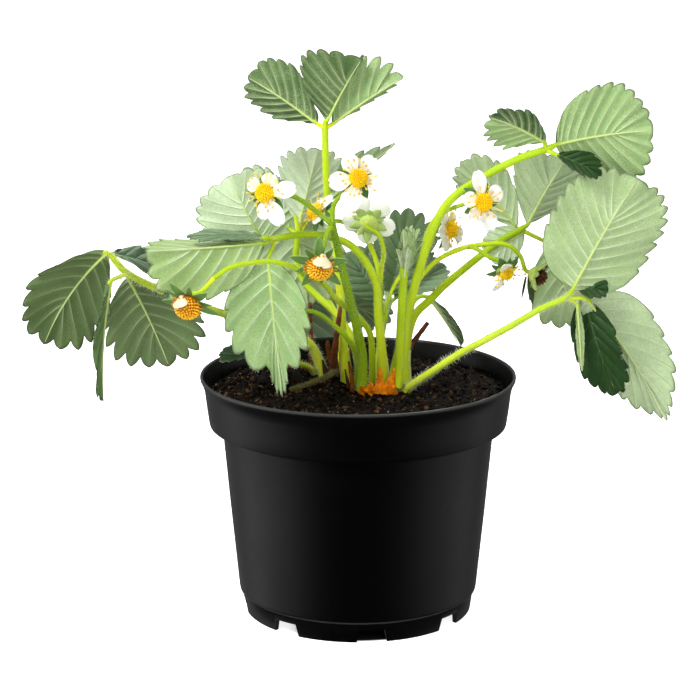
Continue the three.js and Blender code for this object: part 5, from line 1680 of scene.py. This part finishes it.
@dataclass(frozen=True)
class Crown:
    """The main crown: a rough brown stock with torn orange scales round its front.

    A scale is given by the middle of its foot, its tip and half its width.
    """

    centre: Point = (8.5, 0, 92.5)
    radii: Point = (15.5, 13.0, 4.2)
    scale_feet: tuple[tuple[Point, Point, float], ...] = (
        ((3.4, -12.8, 93.6), (1.6, -15.4, 98.8), 2.6),
        ((5.8, -13.4, 93.6), (5.2, -15.4, 100.2), 2.7),
        ((7.6, -14.2, 93.6), (8.6, -14.6, 106.4), 2.0),
        ((9.0, -14.2, 93.6), (9.0, -16.0, 99.4), 2.6),
        ((10.6, -14.4, 93.6), (14.8, -14.4, 105.8), 2.3),
        ((11.8, -13.8, 93.6), (12.2, -15.8, 99.6), 2.6),
        ((13.6, -13.0, 93.6), (15.0, -14.8, 98.8), 2.2),
    )
    scale_tints: tuple[Colour, Colour] = (linear(252, 176, 26), linear(244, 140, 14))
    stock_tint: Colour = linear(78, 58, 32)
    rows: int = 14
    columns: int = 36
    roughness: float = 1.2

    SCALE_THICKNESS = 0.35

    def build(self, rng: random.Random) -> None:
        """Builds the stock and the scales as two pieces.

        Args:
            rng: the source of chance.
        """
        stock = Draft("crown_stock")
        polar, around = np.meshgrid(np.linspace(0.02, np.pi - 0.02, self.rows), round_angles(self.columns),
                                    indexing="ij")
        ball = np.stack([np.sin(polar) * np.cos(around), np.sin(polar) * np.sin(around), np.cos(polar)], -1)
        points = (ball * self.radii + self.centre).reshape(-1, 3)
        points += np.array([np.array(noise.noise_vector(Vector(point) * 0.3)) * self.roughness
                            for point in points])
        stock.add(points, ring_faces(self.rows, self.columns, flip=True), 0, self.stock_tint)
        stock.piece([DRY], "crown", ["crown"])
        scales = Draft("crown_scale_leaves")
        for foot, tip, half in self.scale_feet:
            scale = self.torn_blade(foot, tip, half, rng)
            scale.add_to(scales, self.SCALE_THICKNESS, 0, 0, self.scale_tints)
        scales.piece([SCALE], "scale", ["crown_scales"])

    def torn_blade(self, foot: Point, tip: Point, half: float, rng: random.Random) -> Sheet:
        """Builds a papery blade that hugs its neighbours and ends in a torn point.

        Args:
            foot: middle of its foot.
            tip: its tip.
            half: half its width at the foot.
            rng: the source of chance.

        Returns:
            The blade's sheet.
        """
        u, v = blade_grid(18, 11)
        start, end = np.array(foot), np.array(tip)
        forward = unit(end - start)
        out = unit(np.array([foot[0] - self.centre[0], foot[1] - self.centre[1], 0.0]))
        side = unit(np.cross(forward, out))
        phase = rng.uniform(0, 6)
        ragged = 0.12 * np.sin(11 * u + phase) * np.abs(v) + 0.07 * np.sin(23 * u - phase) * np.abs(v)
        width = half * (1 - u ** 1.8) ** 0.9 * (1 + ragged) + 0.08
        centre = start + u[..., None] * (end - start)
        bow = 0.8 * np.sin(np.pi * u) * rng.uniform(-1, 1)
        creases = 0.22 * np.sin(7 * v + phase) * (1 - u) + 0.3 * np.sin(5 * u + 3 * v + phase)
        bulge = 1.2 * (1 - v ** 2) * (1 - 0.6 * u) + creases
        points = centre + side * (v * width + bow)[..., None] + out * (bulge - 0.5)[..., None]
        return grid_sheet(points, u, v)


@dataclass(frozen=True)
class DryStalk:
    """A dry stalk or strip: its points, girth and flatness."""

    points: tuple[Point, ...]
    girth: Span
    flat: float = 1.0
    tint: Colour = linear(112, 66, 38)
    hair: float = 0.0

    def add_to(self, draft: Draft, hairs: Draft, rng: random.Random) -> None:
        """Adds the stalk, wrinkled along its length.

        Args:
            draft: the draft that it goes into.
            hairs: the draft that takes its dull hairs.
            rng: the source of chance.
        """
        path = smooth_path(self.points, 8)
        wrinkle = np.array([noise.noise(Vector(point) * 0.6) for point in path])
        radii = np.linspace(*self.girth, len(path)) * (1 + 0.28 * wrinkle)
        lights = [1 + 0.6 * noise.noise(Vector(point) * 0.35 + Vector((7, 3, 1))) for point in path]
        shades = np.maximum([toned(self.tint, light) for light in lights], 0)
        add_tube(draft, path, radii, 8, tint=shades, flat=self.flat, ribs=0.12)
        if self.hair:
            add_hairs(hairs, path, radii, rng, self.hair, 0.9)


RUSSET = linear(122, 66, 36)
AMBER = linear(168, 94, 34)
RUST = linear(124, 66, 28)
UMBER = linear(74, 44, 28)
OLIVE = linear(112, 112, 44)

SIDE_CROWN_PARTS = (
    DryStalk(((-10.5, 13, 93), (-10, 5, 104), (-8.6, 0.2, 118), (-6.8, -0.6, 130.5)),
             (1.7, 0.8), 0.9, RUSSET),
    DryStalk(((-19.5, 21, 93), (-19.7, 20, 105), (-20.2, 19, 125.5)), (1.4, 0.75), 0.9, RUSSET),
    DryStalk(((-10.5, 15, 93), (-10.6, 12.5, 100), (-12.5, 11.5, 107), (-12.8, 11.5, 111)),
             (1.8, 0.7), 0.5, RUST),
    DryStalk(((-9.6, 13, 93), (-9.2, 11, 101), (-10, 10.4, 106)), (1.8, 0.5), 0.3, RUST),
    DryStalk(((-7.4, 12.6, 93.5), (-6.6, 10.6, 100), (-7.4, 10.2, 105)), (1.5, 0.4), 0.3, UMBER),
    DryStalk(((-5.6, 13.2, 93), (-4.4, 11.6, 101), (-3.4, 11, 108)), (1.6, 0.5), 0.3, RUST),
    DryStalk(((-12.6, 13.4, 93.5), (-13.6, 11.4, 98), (-14.8, 10.8, 103)), (1.9, 0.4), 0.35, UMBER),
    DryStalk(((-2.2, -7.6, 93), (-2.8, -6.8, 100), (-3.9, -5.4, 106.5)), (1.3, 0.5), 0.4, RUST),
    DryStalk(((-3.4, -6.4, 93), (-4.4, -5.4, 98), (-5.4, -4.6, 103)), (1.1, 0.3), 0.4, UMBER),
    DryStalk(((-17, 22, 93), (-23, 17, 98), (-29, 12, 99.8)), (0.9, 0.5), 1.0, AMBER),
    DryStalk(((-9, 14.5, 94.2), (-9.8, 8, 99), (-12.5, 1, 98.6), (-19, -4.5, 97.2), (-28, -8.5, 95.2)),
             (1.2, 0.6), 0.9, OLIVE, 44.0),
    DryStalk(((-12, 6, 94.5), (-17, 0, 95.6), (-24, -2, 95.4)), (0.8, 0.4), 1.0, UMBER),
)
OLD_STUB = DryStalk(((16, 12.4, 94), (17.4, 13.4, 101), (22.5, 14.5, 109), (29, 15, 118)), (1.5, 0.9), 0.8,
                    linear(96, 52, 34))


@dataclass(frozen=True)
class DryRemains:
    """The withered side crown with what hangs on it, and the old stub."""

    parts: tuple[DryStalk, ...] = SIDE_CROWN_PARTS
    stub: DryStalk = OLD_STUB
    lumps: int = 16
    lump_centre: Point = (-13.5, 18.5, 93.2)
    hair_tint: Colour = linear(150, 140, 86)

    def build(self, rng: random.Random) -> None:
        """Builds the side crown and the stub as two pieces.

        Args:
            rng: the source of chance.
        """
        side = Draft("side_crown_remains")
        hairs = Draft("dull_hairs")
        for part in self.parts:
            part.add_to(side, hairs, rng)
        for lump in range(self.lumps):
            angle = 2 * math.pi * lump / self.lumps + rng.uniform(-0.2, 0.2)
            reach = rng.uniform(2, 7.5)
            centre = self.lump_centre + spoke(angle) * reach + [0, 0, rng.uniform(-0.6, 1.2)]
            add_bead(side, centre, (rng.uniform(1.4, 2.6), rng.uniform(1.4, 3.4)),
                     (rng.uniform(-1, 1), rng.uniform(-1, 1), 0.9), 0, UMBER, 10, 7)
        side.piece([DRY], "dry", ["side_crown"])
        hairs.dye(self.hair_tint)
        hairs.piece([HAIR], "dry")
        stub = Draft("old_stub_stalk")
        self.stub.add_to(stub, hairs, rng)
        stub.piece([DRY], "dry", ["old_stub"])


# Pot and soil


@dataclass(frozen=True)
class Pot:
    """The round nursery pot: a turned shell with a notched foot ring."""

    segments: int = 144
    profile: tuple[Span, ...] = (
        (45.6, 9.5), (45.2, 0.25), (45.4, 0.0), (46.9, 0.0), (47.2, 0.25), (48.35, 8.2), (48.6, 8.5),
        (49.3, 8.9), (49.45, 9.3), (49.6, 10.2), (52.9, 44), (55.9, 77), (56.15, 79.2), (56.5, 79.6),
        (60.9, 79.6), (61.25, 79.8), (61.4, 80.3), (62.2, 86), (63.0, 93), (63.5, 95.4), (64.2, 97.2),
        (64.9, 98.7), (65.0, 99.3), (64.9, 99.8), (64.6, 100.0), (64.2, 100.0), (63.9, 99.8), (63.7, 99.2),
        (62.9, 96.8), (61.8, 93), (60.1, 80.9), (54.9, 80.9), (51.7, 44), (48.2, 10.7))
    floor: Span = (9.5, 10.7)
    notches: int = 8
    first_notch: float = -83.0
    notch_width: Span = (12.7, 10.2)
    notch_height: float = 5.3
    notch_reach: Span = (41.0, 54.0)
    sharp_angle: float = 38.0

    def build(self) -> None:
        """Builds the pot as one piece, with its floor closed inside and under it."""
        shell = turned(self.profile, self.segments)
        faces = ring_faces(len(self.profile), self.segments, caps=False)
        under, inside = len(shell), len(shell) + 1
        last = len(shell) - self.segments
        for j in range(self.segments):
            after = (j + 1) % self.segments
            faces.append([under, after, j])
            faces.append([inside, last + j, last + after])
        draft = Draft("nursery_pot")
        draft.add(np.vstack([shell, [[0, 0, level] for level in self.floor]]), faces)
        self.cut_notches(draft.piece([POT_PLASTIC], "pot", ["pot"]))

    def cut_notches(self, pot: bpy.types.Object) -> None:
        """Cuts the notches out of the foot ring."""
        cutters = Draft("notch_cutters")
        low, high = (width / 2 for width in self.notch_width)
        for notch in range(self.notches):
            out = spoke(math.radians(self.first_notch + 360 / self.notches * notch))
            side = np.array([-out[1], out[0], 0])
            corners = [out * reach + side * width + [0, 0, level] for reach in self.notch_reach
                       for width, level in ((-low, -1.0), (low, -1.0), (high, self.notch_height),
                                            (-high, self.notch_height))]
            cutters.add(np.array(corners), [(3, 2, 1, 0), (4, 5, 6, 7), (0, 1, 5, 4), (1, 2, 6, 5),
                                            (2, 3, 7, 6), (3, 0, 4, 7)])
        cutter = place_object("notch_cutters", cutters.mesh())
        modifier = pot.modifiers.new("notches", "BOOLEAN")
        modifier.operation = "DIFFERENCE"
        modifier.solver = "EXACT"
        modifier.object = cutter
        bpy.context.view_layer.update()
        cut = bpy.data.meshes.new_from_object(pot.evaluated_get(bpy.context.evaluated_depsgraph_get()))
        pot.modifiers.clear()
        pot.data = cut
        bpy.data.objects.remove(cutter)
        cut.shade_smooth()
        cut.set_sharp_from_angle(angle=math.radians(self.sharp_angle))


@dataclass(frozen=True)
class Soil:
    """Dark crumbly peat: a rough bed with loose crumbs and fibres on it."""

    radius: float = 61.4
    level: float = 93.0
    middle: float = 94.8
    floor: float = 84.0
    rings: int = 84
    segments: int = 200
    crumbs: int = 4600
    fibres: int = 420
    floor_share: float = 0.97
    hollow: float = 1.1
    hollow_width: float = 5.0
    dark: Colour = linear(19, 12, 7)
    pale: Colour = linear(170, 148, 120)
    crumb_tones: tuple[Colour, ...] = (linear(12, 7, 4), linear(38, 25, 14), linear(90, 66, 44),
                                       linear(6, 4, 3), linear(22, 14, 8))
    fibre_tones: tuple[Colour, ...] = (linear(72, 48, 28), linear(40, 27, 17), linear(24, 16, 11))

    def height(self, x: float, y: float) -> float:
        """Gives the level of the bed at a place."""
        reach = math.hypot(x, y)
        smooth = self.level + (self.middle - self.level) * (1 - (reach / self.radius) ** 2)
        broad = noise.noise(Vector((x, y, 3)) * 0.11) * 1.1
        lumps = noise.noise(Vector((x, y, 9)) * 0.42) * 0.75
        grains = noise.noise(Vector((x, y, 21)) * 1.3) * 0.45
        hollow = self.hollow * float(smoothstep(self.radius - self.hollow_width, self.radius, reach))
        return smooth + broad + lumps + grains - hollow

    def build(self, rng: random.Random) -> None:
        """Builds the bed with its crumbs as one piece.

        Args:
            rng: the source of chance.
        """
        draft = Draft("soil_bed")
        points = []
        for reach in np.linspace(0.6, self.radius, self.rings):
            for angle in round_angles(self.segments):
                x, y = reach * math.cos(angle), reach * math.sin(angle)
                points.append([x, y, self.height(x, y)])
        points += turned([(self.radius * self.floor_share, self.floor)], self.segments).tolist()
        tints = np.array([self.tint(point, rng) for point in points])
        draft.add(np.array(points), ring_faces(self.rings + 1, self.segments, flip=True), 0, tints)
        for _ in range(self.crumbs):
            self.add_crumb(draft, rng)
        for _ in range(self.fibres):
            self.add_fibre(draft, rng)
        draft.piece([SOIL], "soil", ["soil"])

    def tint(self, point: Sequence[float], rng: random.Random) -> Colour:
        """Gives the peat's colour at a point of the bed."""
        light = 0.7 + 1.1 * (noise.noise(Vector(point) * 0.8) + 0.3) * rng.uniform(0.6, 1.3)
        # Painted shade: the peat darkens towards the +x side, which the rim and the plant shade.
        light *= 0.8 - 0.35 * point[0] / self.radius
        return tuple(max(part, 0.002) for part in toned(self.dark, light))

    def spot(self, rng: random.Random) -> Span:
        """Chooses a place on the bed."""
        reach, angle = self.radius * 0.985 * math.sqrt(rng.random()), rng.uniform(0, 2 * math.pi)
        return reach * math.cos(angle), reach * math.sin(angle)

    def add_crumb(self, draft: Draft, rng: random.Random) -> None:
        """Adds one uneven crumb, mostly dark, now and then a paler bit."""
        x, y = self.spot(rng)
        size = 0.2 + 0.85 * rng.random() ** 4
        tone = self.pale if rng.random() < 0.1 and size < 0.4 else rng.choice(self.crumb_tones)
        # Painted shade: crumbs darken towards the +x side, as the bed does.
        tone = toned(tone, 0.85 - 0.4 * x / self.radius)
        centre = np.array([x, y, self.height(x, y) + size * 0.3])
        axis = (rng.uniform(-1, 1), rng.uniform(-1, 1), rng.uniform(-1, 1))
        add_bead(draft, centre, (size, size * rng.uniform(0.7, 1.8)), axis, 0, tone, 5, 3)
        shift = [[rng.uniform(-0.4, 0.4) * size for _ in range(3)] for _ in draft.points[-1]]
        draft.points[-1] = draft.points[-1] + np.array(shift)

    def add_fibre(self, draft: Draft, rng: random.Random) -> None:
        """Adds one short fibre lying on the bed."""
        x, y = self.spot(rng)
        heading, length = rng.uniform(0, 2 * math.pi), rng.uniform(1.2, 5)
        knots = []
        for share in (0, 0.5, 1):
            px = x + share * length * math.cos(heading + share * rng.uniform(-0.6, 0.6))
            py = y + share * length * math.sin(heading + share * rng.uniform(-0.6, 0.6))
            if math.hypot(px, py) > self.radius * self.floor_share:
                return
            knots.append((px, py, self.height(px, py) + rng.uniform(0.15, 0.8)))
        path = smooth_path(knots, 3)
        add_tube(draft, path, np.linspace(0.16, 0.08, len(path)), 3, 0, rng.choice(self.fibre_tones))


# Studio


@dataclass(frozen=True)
class Softbox:
    """A square soft light that points at the plant."""

    name: str
    place: Point
    size: float
    power: float
    glints: bool = True


@dataclass(frozen=True)
class Studio:
    """A plain pale floor, soft lights and the camera at the photograph's angle."""

    distance: float = 1000.0
    height: float = 357.3
    pitch: float = 13.85
    yaw: float = -0.237
    lens: float = 129.7
    sensor: float = 36.0
    nearest: float = 0.01
    target: Point = (0.0, 0.0, 110.0)
    lights: tuple[Softbox, ...] = (
        Softbox("key_light", (-620, -700, 1050), 380, 15.0),
        Softbox("front_fill", (500, -1500, 950), 800, 11.5, False),
        Softbox("back_light", (250, 700, 900), 500, 5.5),
    )
    side_strength: float = 0.6
    front_strength: float = 0.04
    panel_strength: float = 1.05
    behind_strength: float = 0.22
    floor_half: float = 4.0
    floor_glow: float = 0.85
    floor_pale: Colour = (0.93, 0.93, 0.93)
    # colour of the painted shadow under the pot; the shade values below give its reach, edge and sides
    floor_shadow: Colour = (0.02, 0.02, 0.02)
    shade_radius: float = 46 * MM
    shade_edge: float = 2 * MM
    shade_sides: Span = (16 * MM, 30 * MM)

    def build(self) -> None:
        """Builds the floor, the lights and the camera."""
        bpy.context.scene.view_settings.view_transform = "Standard"
        self.floor()
        self.world()
        for light in self.lights:
            self.softbox(light)
        self.camera()

    def floor(self) -> None:
        """Lays the plain floor, which isn't part of the plant, with a painted shadow under the pot."""
        half = self.floor_half
        mesh = bpy.data.meshes.new("studio_floor")
        corners = [(-half, -half, 0), (half, -half, 0), (half, half * 3, 0), (-half, half * 3, 0)]
        mesh.from_pydata(corners, [], [(0, 1, 2, 3)])
        floor = place_object("studio_floor", mesh)
        floor.visible_glossy = False
        material = bpy.data.materials.new("pale_floor")
        material.use_nodes = True
        nodes = Nodes(material.node_tree)
        x, y, _ = nodes.split(nodes.coordinates())
        reach = nodes.math("SQRT", nodes.plus(nodes.times(x, x), nodes.times(y, y)))
        # Painted shadow: under the pot the floor takes the dark shadow colour and doesn't glow.
        outside = nodes.math("MAXIMUM",
                             nodes.remap(reach, self.shade_radius - self.shade_edge, self.shade_radius),
                             nodes.remap(nodes.math("ABSOLUTE", x), *self.shade_sides))
        seen = nodes.add("ShaderNodeLightPath").outputs["Is Camera Ray"]
        nodes.feed(material.node_tree.nodes["Principled BSDF"], {
            "Base Color": nodes.mix(outside, self.floor_shadow, self.floor_pale),
            "Roughness": 0.85, "Specular IOR Level": 0.1, "Emission Color": WHITE,
            "Emission Strength": nodes.times(seen, nodes.times(outside, self.floor_glow))})
        mesh.materials.append(material)

    def world(self) -> None:
        """Sets the surround: bright at the sides, dark behind the camera, with side panels in the gloss."""
        world = bpy.data.worlds.new("studio_surround")
        world.use_nodes = True
        nodes = Nodes(world.node_tree)
        x, y, z = nodes.split(nodes.coordinates("Generated"))
        surround = nodes.times(nodes.remap(y, -0.82, -0.1, self.front_strength, self.side_strength),
                               nodes.remap(x, -1.0, 1.0, 1.2, 0.7))
        panels = nodes.math("MINIMUM", nodes.remap(y, -0.9, -0.2, 0.0, self.panel_strength),
                            nodes.remap(y, 0.15, 0.75, self.panel_strength, self.behind_strength))
        panels = nodes.times(panels, nodes.remap(x, -1.0, 1.0, 1.0, 0.62))
        panels = nodes.times(panels, nodes.remap(z, -0.62, -0.44, 0.08, 1.0))
        rays = nodes.add("ShaderNodeLightPath").outputs
        glossy = rays["Is Glossy Ray"]
        strength = nodes.plus(nodes.times(surround, nodes.minus(1.0, glossy)), nodes.times(panels, glossy))
        nodes.feed(world.node_tree.nodes["Background"], {
            "Color": WHITE, "Strength": nodes.math("MAXIMUM", strength, rays["Is Camera Ray"])})
        bpy.context.scene.world = world

    def softbox(self, light: Softbox) -> None:
        """Hangs one soft light."""
        lamp = bpy.data.lights.new(light.name, "AREA")
        lamp.size = light.size * MM
        lamp.energy = light.power
        box = place_object(light.name, lamp)
        box.visible_glossy = light.glints
        place = Vector(light.place) * MM
        box.location = place
        box.rotation_euler = (Vector(self.target) * MM - place).to_track_quat("-Z", "Y").to_euler()

    def camera(self) -> None:
        """Sets the camera that sees the plant as the photograph does."""
        lens = bpy.data.cameras.new("photo_camera")
        lens.lens = self.lens
        lens.sensor_width = self.sensor
        lens.clip_start = self.nearest
        camera = place_object("photo_camera", lens)
        camera.location = Vector((0.0, -self.distance, self.height)) * MM
        camera.rotation_euler = Euler((math.radians(90 - self.pitch), 0.0, math.radians(-self.yaw)))
        bpy.context.scene.camera = camera


@dataclass
class Plant:
    """The whole plant in its pot."""

    leaves: tuple[Leaf, ...] = LEAVES
    trusses: tuple[Truss, ...] = TRUSSES
    young_leaf: YoungLeaf = field(default_factory=YoungLeaf)
    bud_stalk: BudStalk = field(default_factory=BudStalk)
    crown: Crown = field(default_factory=Crown)
    remains: DryRemains = field(default_factory=DryRemains)
    pot: Pot = field(default_factory=Pot)
    soil: Soil = field(default_factory=Soil)
    hair_tint: Colour = linear(236, 240, 214)

    def build(self) -> None:
        """Builds every piece of the plant, each group with its own seed."""
        noise.seed_set(SEED)
        self.pot.build()
        self.soil.build(random.Random(SEED))
        self.crown.build(random.Random(SEED + 1))
        self.remains.build(random.Random(SEED + 2))
        hairs = Draft("white_hairs")
        for number, leaf in enumerate(self.leaves):
            leaf.build(random.Random(SEED + 10 + number), hairs)
        self.young_leaf.build(random.Random(SEED + 30), hairs)
        for number, truss in enumerate(self.trusses):
            truss.build(random.Random(SEED + 40 + number), hairs)
        self.bud_stalk.build(random.Random(SEED + 50), hairs)
        hairs.dye(self.hair_tint)
        hairs.piece([HAIR], "stalk")


def write_sizes() -> None:
    """Brings the scene's view layer up to date."""
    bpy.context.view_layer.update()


def main() -> None:
    """Builds the plant and its studio."""
    logging.basicConfig(level=logging.INFO, format="%(name)s %(message)s")
    Plant().build()
    Studio().build()
    write_sizes()


if __name__ == "__main__":
    main()
